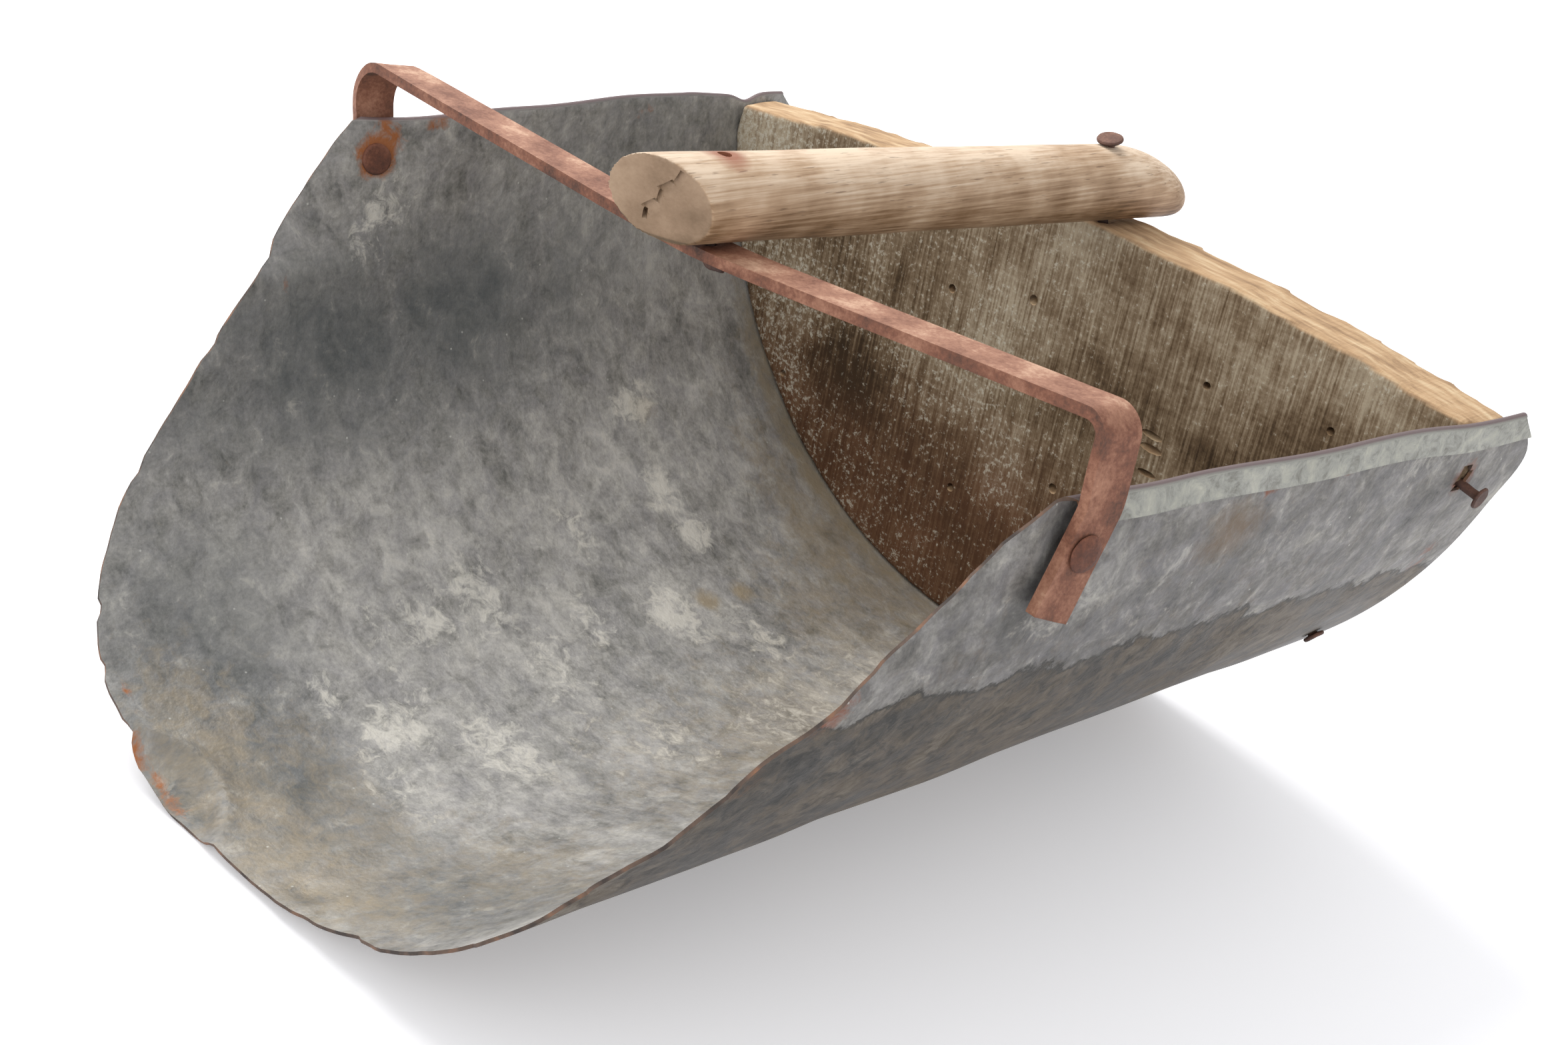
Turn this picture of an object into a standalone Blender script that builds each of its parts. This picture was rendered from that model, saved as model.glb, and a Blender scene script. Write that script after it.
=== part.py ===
"""Farmyard feed scoop: a galvanised sheet trough on a wooden back board, carried by a round
wooden handle that sits on the board and on a flat iron strap across the mouth.

Metres, +Z up, +Y towards the back board, +X to the scoop's right. The scoop stands on its sole,
and its origin is the middle of the floor area that it covers.
"""
import math

import bmesh
import bpy
import numpy as np
from mathutils import Vector

# ---------------------------------------------------------------- driving dimensions (metres)
SHEET_THICKNESS = 0.0010    # about 20 gauge
MOUTH_RADIUS = 0.1425       # bend radius of the trough at the mouth
SOLE_WIDTH = 0.012          # flat that the trough has worn along its lowest line
TROUGH_LENGTH = 0.212       # side edges, front corner to back corner
FLARE = 0.62                # growth of the section per metre towards the back
LIP_REACH = 0.120           # how far the lip stands out in front of the side corners
ARC = {"left": math.radians(85.3), "right": math.radians(93.6)}    # bent part of each side
WALL = {"left": 0.0224, "right": 0.0046}          # straight wall above the arc, at the mouth
WALL_FALL = {"left": 0.103, "right": 0.107}       # how much of it is lost per metre of length
CORNER_Y = {"left": 0.0010, "right": 0.0045}      # front corners of the two side edges
CORNER_FLARE = {"left": 0.0075, "right": -0.0015}    # one front corner is bent out, one in
CORNER_FLARE_REACH = 0.045  # along the edge, and down from it
HEM_WIDTH = 0.0070
HEM_GAP = 0.0005            # inside the folded hem
HEM_START = 0.0060          # the hem is snipped back from the front corner

BOARD_THICKNESS = 0.0235
BOARD_INSET = 0.0090        # board's back face to the sheet's back edge
BOARD_CROWN = 0.0125        # rise of the board's top over its corners
BOARD_DROP = {"left": 0.0045, "right": 0.0010}    # top corners below the side edges
CROWN_SKEW = 1.10           # moves the crown's peak to the right
CROWN_FULLNESS = 0.85       # under 1, the crown is flatter on top

STRAP_WIDTH = 0.0127
STRAP_THICKNESS = 0.0032
STRAP_RISE = {"left": 0.0204, "right": 0.0250}    # bends' top face over the side edges
STRAP_CORNER_Y = {"left": 0.0118, "right": 0.0158}
STRAP_CLEARANCE = 0.0006    # leg to hem
STRAP_SPREAD = {"left": 0.0075, "right": 0.0036}      # the bends' middles outside the side edges
STRAP_LEAN = {"left": math.radians(8), "right": math.radians(20)}     # legs lean back
STRAP_TURN = {"left": math.radians(24), "right": math.radians(14)}    # twist up to the bends
STRAP_KNEE = 0.0150         # bend radius at the side edge
STRAP_BEND = {"left": 0.0130, "right": 0.0060}
STRAP_DIP = 0.3500          # bend radius under the handle
STRAP_FOOT = 0.0185         # leg below the rivet
STRAP_DIP_Y = 0.0080        # where the strap's middle passes under the handle

HANDLE_RADIUS = 0.0125
HANDLE_X = {"front": 0.0095, "back": 0.0130}
HANDLE_FALL = 0.0127        # the front of the handle stands higher than its back
HANDLE_FRONT = 0.0125       # middle of the front cut, ahead of the front corners
HANDLE_OVERHANG = 0.0172    # rounded tip behind the board's back face
HANDLE_NOSE = 0.0440        # length of the rounded stretch at the back
HANDLE_NOSE_LIFT = 8.0      # how strongly the tip curls up
FRONT_CUT = (0.62, -0.30)   # slope of the front cut sideways and upwards
FRONT_CHAMFER = 0.6         # the front's underside is cut back below this share of the radius

RIVET_DROP = {"left": 0.0121, "right": 0.0116}    # below the side edges
RIVET_Y = {"left": 0.0097, "right": 0.0120}
RIVET_RADIUS = 0.0025
RIVET_HEAD_RADIUS = 0.0053
RIVET_HEAD_HEIGHT = 0.0013
RIVET_HEAD_STEP = 0.00001   # a sharp corner under each head
RIVET_CLEARANCE = 0.0004    # under each head

NAIL_RADIUS = 0.0015
NAIL_HEAD_RADIUS = 0.0038
NAIL_HEAD_HEIGHT = 0.0011
NAIL_LENGTH = 0.030
NAIL_ANGLES = (-79, -52, -25, 25, 52, 79)    # degrees round the trough from its sole
PROUD_NAIL = 79             # this one has worked loose
PROUD_BY = 0.0050
HANDLE_NAIL_RADIUS = 0.0018
HANDLE_NAIL_HEAD_RADIUS = 0.0046
HANDLE_NAIL_LENGTH = 0.058
HANDLE_NAIL_LEAN = math.radians(15)
HANDLE_NAIL_PROUD = 0.0014
HANDLE_NAIL_SETBACK = -0.0015     # entry point behind the board's front face
FRONT_NAIL_SUNK = 0.0015
CLINCH_LENGTH = 0.0070      # front nail's point, turned over under the strap

FIT_GAP = 0.0003            # clearance between pieces that touch
SIDES = ("left", "right")
SIGN = {"left": -1.0, "right": 1.0}

# ---------------------------------------------------------------- places that follow from them
BOARD_BACK_Y = TROUGH_LENGTH - BOARD_INSET
BOARD_FRONT_Y = BOARD_BACK_Y - BOARD_THICKNESS
HALF_SHEET = SHEET_THICKNESS / 2
HEM_FOLD = (SHEET_THICKNESS + HEM_GAP) / 2
HEM_OUTSIDE = 2 * HEM_FOLD + HALF_SHEET
ARC_STEPS = 22
HEM_STEPS = 4
LIP_SHAPE = {    # share of the side's half width, share of LIP_REACH
    "left": ((0.0, 1.0), (0.2, 1.01), (0.36, 1.0), (0.54, 0.835), (0.70, 0.55), (0.85, 0.26), (1.0, 0.0)),
    "right": ((0.0, 1.0), (0.18, 0.975), (0.36, 0.95), (0.54, 0.835), (0.70, 0.66), (0.85, 0.38), (1.0, 0.0)),
}
BACK_EDGE = ((0.0, 0.0), (0.55, 0.001), (0.75, 0.003), (0.86, 0.004), (0.94, 0.0075), (1.0, -0.006))


# ---------------------------------------------------------------- the trough's shape
def flare_at(y):
    return 1.0 + FLARE * y


def half_width(side, y):
    """Length of the unflared half section, from the sole's centre line to the side edge."""
    return MOUTH_RADIUS * ARC[side] + WALL[side] - WALL_FALL[side] * y


def section(side, run):
    """Point and outward normal of the unflared section, run metres from the centre line."""
    sole_angle = SOLE_WIDTH / 2 / MOUTH_RADIUS
    angle = min(run / MOUTH_RADIUS, ARC[side])
    straight = max(run - MOUTH_RADIUS * ARC[side], 0.0)
    x = MOUTH_RADIUS * math.sin(angle) + straight * math.cos(angle)
    height = MOUTH_RADIUS * (math.cos(sole_angle) - math.cos(angle))
    z = max(height, 0.0) + straight * math.sin(angle)
    return x, z, math.sin(angle), -math.cos(angle)


def corner_flare(side, down, y):
    """Outward push of a bent-out front corner."""
    along = max(0.0, 1 - (y - CORNER_Y[side]) / CORNER_FLARE_REACH)
    upward = max(0.0, 1 - down / CORNER_FLARE_REACH)
    return CORNER_FLARE[side] * along**2 * upward


def trough_point(side, run, y, offset=0.0):
    """Middle of the sheet, or offset metres outside it."""
    x, z, normal_x, normal_z = section(side, run)
    scale = flare_at(y)
    x = x * scale + normal_x * offset + corner_flare(side, half_width(side, y) - run, y)
    return Vector((SIGN[side] * x, y, z * scale + normal_z * offset + HALF_SHEET))


def outward(side, run):
    _, _, normal_x, normal_z = section(side, run)
    return Vector((SIGN[side] * normal_x, 0.0, normal_z))


def hem_point(side, past, y, offset):
    """Point on the hem, past metres along the sheet beyond the side edge."""
    width = half_width(side, y)
    fold = math.pi * HEM_FOLD
    if past >= fold:
        return trough_point(side, width - (past - fold), y, 2 * HEM_FOLD - offset)
    edge = trough_point(side, width, y)
    normal = outward(side, width)
    upward = Vector((-SIGN[side] * normal.z, 0.0, SIGN[side] * normal.x))
    turn = past / HEM_FOLD
    centre = edge + normal * HEM_FOLD
    arm = HEM_FOLD - offset
    return centre - normal * (arm * math.cos(turn)) + upward * (arm * math.sin(turn))


def smooth(table, at):
    """Cubic through a table of (place, value) pairs, with the slopes of its neighbours."""
    places = np.array([p for p, _ in table])
    values = np.array([v for _, v in table])
    slopes = np.gradient(values, places)
    slopes[0] = 0.0
    i = min(int(np.searchsorted(places, at, side="right")) - 1, len(places) - 2)
    step = places[i + 1] - places[i]
    u = (at - places[i]) / step
    return float(
        values[i] * (1 + 2 * u) * (1 - u) ** 2
        + slopes[i] * step * u * (1 - u) ** 2
        + values[i + 1] * u * u * (3 - 2 * u)
        + slopes[i + 1] * step * u * u * (u - 1)
    )


def front_edge(side, share):
    """The lip: a broad round nose whose sides run back to the front corners."""
    reach = LIP_REACH * smooth(LIP_SHAPE[side], share)
    return CORNER_Y[side] * share**4 - reach


def back_edge(share):
    return TROUGH_LENGTH + smooth(BACK_EDGE, share)


# ---------------------------------------------------------------- making objects
def material(name, colour, roughness, metallic):
    made = bpy.data.materials.get(name) or bpy.data.materials.new(name)
    made.use_nodes = True
    shader = made.node_tree.nodes["Principled BSDF"]
    shader.inputs["Base Color"].default_value = (*colour, 1.0)
    shader.inputs["Roughness"].default_value = roughness
    shader.inputs["Metallic"].default_value = metallic
    return made


def galvanised():
    return material("weathered_galvanised_steel", (0.13, 0.14, 0.145), 0.6, 0.6)


def old_timber():
    return material("grey_sawn_timber", (0.20, 0.15, 0.10), 0.85, 0.0)


def handle_wood():
    return material("worn_handle_wood", (0.47, 0.32, 0.19), 0.7, 0.0)


def rusty_iron(name):
    return material(name, (0.22, 0.11, 0.075), 0.75, 0.3)


def add_object(name, mesh_builder, surface, smooth_angle=35):
    mesh_builder.normal_update()
    mesh = bpy.data.meshes.new(name)
    mesh_builder.to_mesh(mesh)
    mesh_builder.free()
    mesh.materials.append(surface)
    mesh.shade_smooth()
    mesh.set_sharp_from_angle(angle=math.radians(smooth_angle))
    made = bpy.data.objects.new(name, mesh)
    bpy.context.scene.collection.objects.link(made)
    made.parent = scoop
    return made


def skin(builder, rings, closed_ends=True):
    """Quads between closed rings of points, and a face on each end."""
    rows = [[builder.verts.new(point) for point in ring] for ring in rings]
    for low, high in zip(rows, rows[1:]):
        for i in range(len(low)):
            j = (i + 1) % len(low)
            builder.faces.new((low[i], low[j], high[j], high[i]))
    if closed_ends:
        builder.faces.new(rows[0][::-1])
        builder.faces.new(rows[-1])
    bmesh.ops.recalc_face_normals(builder, faces=builder.faces)
    return rows


def frame_on(axis):
    """Two directions at right angles to an axis."""
    axis = axis.normalized()
    side = axis.orthogonal().normalized()
    return side, axis.cross(side)


def turned(builder, start, axis, profile, steps=16):
    """A turned shape: profile holds (distance along the axis, radius) pairs."""
    side, up = frame_on(axis)
    axis = axis.normalized()
    rings = []
    for along, radius in profile:
        turn = [2 * math.pi * i / steps for i in range(steps)]
        arms = [side * math.cos(a) + up * math.sin(a) for a in turn]
        rings.append([start + axis * along + arm * radius for arm in arms])
    return skin(builder, rings)


def cutter(name, rods):
    """Cylinders, each (start, end, radius), that Boolean modifiers take out of the pieces."""
    builder = bmesh.new()
    for start, end, radius in rods:
        part = bmesh.new()
        length = (end - start).length
        turned(part, start, end - start, ((0.0, radius), (length, radius)), steps=20)
        spare = bpy.data.meshes.new("spare")
        part.to_mesh(spare)
        part.free()
        builder.from_mesh(spare)
        bpy.data.meshes.remove(spare)
    mesh = bpy.data.meshes.new(name)
    builder.to_mesh(mesh)
    builder.free()
    made = bpy.data.objects.new(name, mesh)
    bpy.context.scene.collection.objects.link(made)
    made.parent = scoop
    made.hide_render = True
    made.display_type = "WIRE"
    return made


def cut(piece, tool):
    modifier = piece.modifiers.new(tool.name, "BOOLEAN")
    modifier.operation = "DIFFERENCE"
    modifier.solver = "EXACT"
    modifier.object = tool


# ---------------------------------------------------------------- the pieces
def sheet_columns():
    """Lengthwise lines of the sheet, left hem to right hem: side, share and length past the edge."""
    fold = math.pi * HEM_FOLD
    folded = [fold * (i + 1) / HEM_STEPS for i in range(HEM_STEPS)]
    folded += [fold + HEM_WIDTH / 2, fold + HEM_WIDTH]
    sole_share = SOLE_WIDTH / 2 / half_width("right", 0.0)
    shares = [sole_share + (1 - sole_share) * i / ARC_STEPS for i in range(ARC_STEPS + 1)]
    left = [("left", 1.0, past) for past in reversed(folded)]
    left += [("left", share, 0.0) for share in reversed(shares)]
    return left + [("right", share, 0.0) for share in shares] + [("right", 1.0, past) for past in folded]


def sheet_ends(side, share, past):
    fold = math.pi * HEM_FOLD
    down = max(0.0, past - fold)
    ahead = front_edge(side, share) + HEM_START * min(1.0, past / fold) + down * 0.5
    width = half_width(side, TROUGH_LENGTH)
    return ahead, back_edge(share - down / width)


def sheet_point(side, share, past, y, offset):
    if past > 0.0:
        return hem_point(side, past, y, offset)
    return trough_point(side, share * half_width(side, y), y, offset)


def make_trough_sheet():
    builder = bmesh.new()
    rows = 15
    grids = []
    for offset in (HALF_SHEET, -HALF_SHEET):
        grid = []
        for side, share, past in sheet_columns():
            ahead, behind = sheet_ends(side, share, past)
            places = [ahead + (behind - ahead) * i / rows for i in range(rows + 1)]
            grid.append([builder.verts.new(sheet_point(side, share, past, y, offset)) for y in places])
        grids.append(grid)
    outer, inner = grids
    columns = len(outer)
    for i in range(columns - 1):
        for j in range(rows):
            builder.faces.new((outer[i][j], outer[i][j + 1], outer[i + 1][j + 1], outer[i + 1][j]))
            builder.faces.new((inner[i][j], inner[i + 1][j], inner[i + 1][j + 1], inner[i][j + 1]))
        for j in (0, rows):
            builder.faces.new((outer[i][j], outer[i + 1][j], inner[i + 1][j], inner[i][j]))
    for i in (0, columns - 1):
        for j in range(rows):
            builder.faces.new((outer[i][j], outer[i][j + 1], inner[i][j + 1], inner[i][j]))
    bmesh.ops.recalc_face_normals(builder, faces=builder.faces)
    return add_object("trough_sheet", builder, galvanised())


def board_outline(y):
    """The board's edge at y: round the inside of the trough, then back over the crown."""
    inset = -(HALF_SHEET + FIT_GAP)
    round_part = []
    for side in SIDES:
        top = half_width(side, y) - BOARD_DROP[side]
        runs = [top * i / ARC_STEPS for i in range(ARC_STEPS + 1)]
        points = [trough_point(side, run, y, inset) for run in runs]
        round_part += points[::-1] if side == "left" else points[1:]
    left, right = round_part[0], round_part[-1]
    crown = []
    crown_steps = 16
    for i in range(1, crown_steps):
        u = 1 - i / crown_steps
        rise = BOARD_CROWN * math.sin(math.pi * u**CROWN_SKEW) ** CROWN_FULLNESS
        crown.append(left.lerp(right, u) + Vector((0.0, 0.0, rise)))
    return round_part + crown


def crown_height(x, y):
    outline = board_outline(y)
    crown = sorted((point.x, point.z) for point in outline[2 * ARC_STEPS:] + outline[:1])
    return float(np.interp(x, [p[0] for p in crown], [p[1] for p in crown]))


def make_back_board():
    builder = bmesh.new()
    layers = 2
    depths = [BOARD_FRONT_Y + BOARD_THICKNESS * i / layers for i in range(layers + 1)]
    skin(builder, [board_outline(y) for y in depths])
    return add_object("back_board", builder, old_timber())


def sheet_normal(side, run, y):
    """Outward normal of the trough with its flare and its bent corners."""
    step = 0.0005
    round_way = trough_point(side, run + step, y) - trough_point(side, run - step, y)
    back_way = trough_point(side, run, y + step) - trough_point(side, run, y - step)
    return back_way.cross(round_way).normalized() * SIGN[side]


def strap_leg(side):
    """Foot, knee and bend along the leg's middle, and the directions across it below and above."""
    y = RIVET_Y[side]
    run = half_width(side, y) - RIVET_DROP[side]
    normal = sheet_normal(side, run, y)
    offset = HEM_OUTSIDE + STRAP_CLEARANCE + STRAP_THICKNESS / 2
    rivet = trough_point(side, run, y) + normal * offset
    along = Vector((0.0, math.sin(STRAP_LEAN[side]), math.cos(STRAP_LEAN[side])))
    along = (along - normal * along.dot(normal)).normalized()
    foot = rivet - along * STRAP_FOOT
    knee = rivet + along * RIVET_DROP[side]
    bend_y = STRAP_CORNER_Y[side]
    edge = trough_point(side, half_width(side, bend_y), bend_y)
    bend_x = edge.x + SIGN[side] * STRAP_SPREAD[side]
    bend = Vector((bend_x, bend_y, edge.z + STRAP_RISE[side] - STRAP_THICKNESS / 2))
    low = along.cross(normal) * SIGN[side]
    high = Vector((math.sin(STRAP_TURN[side]), math.cos(STRAP_TURN[side]), 0.0))
    return (foot, knee, bend), low, high


def strap_dip():
    """Middle of the strap where it passes under the handle."""
    seat = handle_axis(STRAP_DIP_Y + STRAP_WIDTH / 2)
    dip = Vector((seat.x, STRAP_DIP_Y, seat.z - HANDLE_RADIUS - 2 * FIT_GAP - STRAP_THICKNESS / 2))
    turn = 0.0
    for side in SIDES:
        bend = strap_leg(side)[0][2]
        turn += math.atan2(bend.z - dip.z, abs(bend.x - dip.x))
    dip.z -= STRAP_DIP * (1 / math.cos(turn / 2) - 1)    # the rounded bend rises over its corner
    return dip


def rounded(points, radii, steps):
    """A path through corner points with each inner corner turned into an arc."""
    path = [points[0]]
    for before, corner, after, radius, count in zip(points, points[1:], points[2:], radii, steps):
        back = (before - corner).normalized()
        on = (after - corner).normalized()
        half = back.angle(on) / 2
        centre = corner + (back + on).normalized() * (radius / math.sin(half))
        first = corner + back * (radius / math.tan(half)) - centre
        last = corner + on * (radius / math.tan(half)) - centre
        sweep = math.pi - 2 * half
        for i in range(count + 1):
            u = i / count
            arm = first * math.sin((1 - u) * sweep) + last * math.sin(u * sweep)
            path.append(centre + arm / math.sin(sweep))
    path.append(points[-1])
    return path


def leg_twist(side, knee_steps, bend_steps):
    """Directions across the leg's path: flush with the sheet below the knee, turned at the bend."""
    _, low, high = strap_leg(side)
    count = knee_steps + bend_steps + 1
    return [low] + [low.lerp(high, i / count) for i in range(count + 1)]


def make_bail_strap():
    left = strap_leg("left")[0]
    right = strap_leg("right")[0]
    corners = [*left, strap_dip(), *reversed(right)]
    radii = (STRAP_KNEE, STRAP_BEND["left"], STRAP_DIP, STRAP_BEND["right"], STRAP_KNEE)
    knee_steps, bend_steps, dip_steps = 3, 8, 2
    path = rounded(corners, radii, (knee_steps, bend_steps, dip_steps, bend_steps, knee_steps))
    crossing = leg_twist("left", knee_steps, bend_steps)
    crossing += [Vector((0.0, 1.0, 0.0))] * (dip_steps + 1)
    crossing += reversed(leg_twist("right", knee_steps, bend_steps))
    builder = bmesh.new()
    rings = []
    for i, (place, across) in enumerate(zip(path, crossing)):
        along = (path[min(i + 1, len(path) - 1)] - path[max(i - 1, 0)]).normalized()
        across = (across - along * across.dot(along)).normalized()
        a = across * STRAP_WIDTH / 2
        t = along.cross(across) * STRAP_THICKNESS / 2
        rings.append([place - a - t, place + a - t, place + a + t, place - a + t])
    skin(builder, rings)
    return add_object("bail_strap", builder, rusty_iron("rusty_strap_iron"))


def handle_rest():
    """Height of the handle's middle over the board's back edge, where it rests on the crown."""
    reach = HANDLE_RADIUS + FIT_GAP
    heights = []
    for share in np.linspace(-0.9, 0.9, 13):
        across = share * reach
        crown = crown_height(HANDLE_X["back"] + across, BOARD_BACK_Y)
        heights.append(crown + math.sqrt(reach**2 - across**2))
    return max(heights)


def handle_axis(y):
    """Middle of the handle at y: it rests on the board's crown and falls towards the back."""
    ahead = (BOARD_BACK_Y - y) / BOARD_BACK_Y
    x = HANDLE_X["back"] + (HANDLE_X["front"] - HANDLE_X["back"]) * ahead
    return Vector((x, y, handle_rest() + HANDLE_FALL * ahead))


def make_handle():
    builder = bmesh.new()
    around = 28
    tip_y = BOARD_BACK_Y + HANDLE_OVERHANG
    nose_y = tip_y - HANDLE_NOSE
    turns = [2 * math.pi * i / around for i in range(around)]
    rings = []
    for start_share in (0.0, 0.5, 1.0):
        ring = []
        for turn in turns:
            dx = HANDLE_RADIUS * math.cos(turn)
            dz = HANDLE_RADIUS * math.sin(turn)
            cut_y = -HANDLE_FRONT + FRONT_CUT[0] * dx + FRONT_CUT[1] * dz
            chamfer = max(0.0, -dz / HANDLE_RADIUS - FRONT_CHAMFER)
            cut_y += chamfer * HANDLE_RADIUS
            y = cut_y + (nose_y - cut_y) * start_share
            ring.append(handle_axis(y) + Vector((dx, 0.0, dz)))
        rings.append(ring)
    nose_steps = 9
    for i in range(1, nose_steps + 1):
        u = math.sin(math.pi / 2 * i / nose_steps)
        y = nose_y + HANDLE_NOSE * u
        height = max(math.sqrt(max(1 - u**2, 0.0)), 0.10)
        width = max((1 - u**5) ** 0.4, 0.25)
        lift = max(0.0, u - 0.85) ** 2 * HANDLE_NOSE_LIFT
        ring = []
        for turn in turns:
            dx = HANDLE_RADIUS * math.cos(turn) * width
            rise = (1 + math.sin(turn)) * (height + (1 - height) * 0.25)
            dz = HANDLE_RADIUS * (rise * (1 - lift) - 1 + lift)
            ring.append(handle_axis(y) + Vector((dx, 0.0, dz)))
        rings.append(ring)
    skin(builder, rings)
    return add_object("handle", builder, handle_wood(), smooth_angle=40)


def rivet_line(side):
    """The rivet's inner and outer seats and its direction."""
    y = RIVET_Y[side]
    run = half_width(side, y) - RIVET_DROP[side]
    direction = sheet_normal(side, run, y)
    inside = trough_point(side, run, y) - direction * (HALF_SHEET + RIVET_CLEARANCE)
    reach = HALF_SHEET + HEM_OUTSIDE + STRAP_CLEARANCE + STRAP_THICKNESS + 2 * RIVET_CLEARANCE
    return inside, direction, reach


def make_rivet(side):
    inside, direction, reach = rivet_line(side)
    flat = RIVET_HEAD_RADIUS
    high = RIVET_HEAD_HEIGHT
    profile = (
        (-high, flat * 0.86),
        (-high * 0.7, flat * 0.97),
        (0.0, flat),
        (RIVET_HEAD_STEP, RIVET_RADIUS),
        (reach, RIVET_RADIUS),
        (reach + RIVET_HEAD_STEP, flat),
        (reach + high * 0.5, flat * 0.93),
        (reach + high * 1.1, flat * 0.55),
    )
    builder = bmesh.new()
    turned(builder, inside, direction, profile, steps=20)
    return add_object(f"rivet_{side}", builder, rusty_iron("rusty_rivet_iron"))


def nail_profile(radius, head_radius, head_height, length):
    point = length - 2.5 * radius
    return (
        (-head_height, head_radius * 0.9),
        (-head_height * 0.5, head_radius),
        (0.0, head_radius * 0.95),
        (head_height * 0.4, radius),
        (point, radius),
        (length, radius * 0.15),
    )


def rim_nail_line(angle):
    """Seat of a rim nail's head on the trough and the direction it is driven in."""
    side = "right" if angle > 0 else "left"
    y = (BOARD_FRONT_Y + BOARD_BACK_Y) / 2
    run = MOUTH_RADIUS * math.radians(abs(angle))
    normal = outward(side, run)
    seat = trough_point(side, run, y, HALF_SHEET + 2 * FIT_GAP)
    if angle == PROUD_NAIL:
        seat += normal * PROUD_BY
    return seat, -normal


def make_rim_nail(number, angle):
    seat, direction = rim_nail_line(angle)
    profile = nail_profile(NAIL_RADIUS, NAIL_HEAD_RADIUS, NAIL_HEAD_HEIGHT, NAIL_LENGTH)
    builder = bmesh.new()
    turned(builder, seat, direction, profile, 12)
    return add_object(f"rim_nail_{number}", builder, rusty_iron("rusty_nail_iron"))


def handle_nail_line():
    """Head seat and direction of the nail that holds the handle down on the board."""
    y = BOARD_FRONT_Y + HANDLE_NAIL_SETBACK
    top = handle_axis(y) + Vector((0.0, 0.0, HANDLE_RADIUS))
    direction = Vector((0.0, math.sin(HANDLE_NAIL_LEAN), -math.cos(HANDLE_NAIL_LEAN)))
    return top - direction * (HANDLE_NAIL_PROUD + FIT_GAP), direction


def front_nail_line():
    """Head seat and end of the sunk nail that goes down through the handle and the strap."""
    top = handle_axis(STRAP_DIP_Y)
    head = top + Vector((0.0, 0.0, HANDLE_RADIUS - FRONT_NAIL_SUNK))
    under = top.z - HANDLE_RADIUS - 2 * FIT_GAP - STRAP_THICKNESS - HANDLE_NAIL_RADIUS
    return head, Vector((head.x, head.y, under))


def make_handle_nail_back():
    seat, direction = handle_nail_line()
    profile = nail_profile(HANDLE_NAIL_RADIUS, HANDLE_NAIL_HEAD_RADIUS, NAIL_HEAD_HEIGHT, HANDLE_NAIL_LENGTH)
    builder = bmesh.new()
    turned(builder, seat, direction, profile, 14)
    return add_object("handle_nail_back", builder, rusty_iron("rusty_nail_iron"))


def make_handle_nail_front():
    """Its point is bent over against the strap's underside, towards the right."""
    head, under = front_nail_line()
    bend = HANDLE_NAIL_RADIUS * 1.2
    below = Vector((under.x, under.y, under.z - FIT_GAP))
    tip = below + Vector((CLINCH_LENGTH, 0.0, 0.0))
    path = rounded([head, below, tip], (bend,), (4,))
    radii = [HANDLE_NAIL_RADIUS] * (len(path) - 1) + [HANDLE_NAIL_RADIUS * 0.5]
    builder = bmesh.new()
    rings = []
    for i, place in enumerate(path):
        along = (path[min(i + 1, len(path) - 1)] - path[max(i - 1, 0)]).normalized()
        across = Vector((0.0, 1.0, 0.0))
        up = along.cross(across)
        turns = [2 * math.pi * k / 12 for k in range(12)]
        rings.append([place + (across * math.cos(a) + up * math.sin(a)) * radii[i] for a in turns])
    skin(builder, rings)
    return add_object("handle_nail_front", builder, rusty_iron("rusty_nail_iron"))


# ---------------------------------------------------------------- build
for old in list(bpy.data.objects):
    bpy.data.objects.remove(old)
scoop = bpy.data.objects.new("scoop", None)
bpy.context.scene.collection.objects.link(scoop)

sheet = make_trough_sheet()
board = make_back_board()
strap = make_bail_strap()
handle = make_handle()
for rivet_side in SIDES:
    make_rivet(rivet_side)
for place, nail_angle in enumerate(NAIL_ANGLES, start=1):
    make_rim_nail(place, nail_angle)
make_handle_nail_back()
make_handle_nail_front()

past_head = 0.004
past_point = 0.001
rivet_rods = []
for rivet_side in SIDES:
    inner_seat, driven, reach_out = rivet_line(rivet_side)
    rod_end = inner_seat + driven * (reach_out + past_head)
    rivet_rods.append((inner_seat - driven * past_head, rod_end, RIVET_RADIUS + FIT_GAP))
rivet_holes = cutter("rivet_holes", rivet_rods)
nail_rods = []
for nail_angle in NAIL_ANGLES:
    head_seat, driven = rim_nail_line(nail_angle)
    rod_end = head_seat + driven * (NAIL_LENGTH + past_point)
    nail_rods.append((head_seat - driven * past_head, rod_end, NAIL_RADIUS + FIT_GAP))
nail_holes = cutter("nail_holes", nail_rods)
back_seat, driven = handle_nail_line()
back_end = back_seat + driven * (HANDLE_NAIL_LENGTH + past_point)
handle_back_hole = cutter("handle_back_hole", [(back_seat, back_end, HANDLE_NAIL_RADIUS + FIT_GAP)])
front_head, front_under = front_nail_line()
above = front_head + Vector((0.0, 0.0, HANDLE_RADIUS))
below_strap = front_under - Vector((0.0, 0.0, past_head))
handle_front_hole = cutter("handle_front_hole", [(above, below_strap, HANDLE_NAIL_RADIUS + FIT_GAP)])

cut(sheet, rivet_holes)
cut(strap, rivet_holes)
cut(sheet, nail_holes)
cut(board, nail_holes)
cut(board, handle_back_hole)
cut(handle, handle_back_hole)
cut(handle, handle_front_hole)
cut(strap, handle_front_hole)

corners = [vertex.co for piece in scoop.children if not piece.hide_render for vertex in piece.data.vertices]
low = Vector([min(corner[i] for corner in corners) for i in range(3)])
high = Vector([max(corner[i] for corner in corners) for i in range(3)])
scoop.location = (-(low.x + high.x) / 2, -(low.y + high.y) / 2, -low.z)
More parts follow.
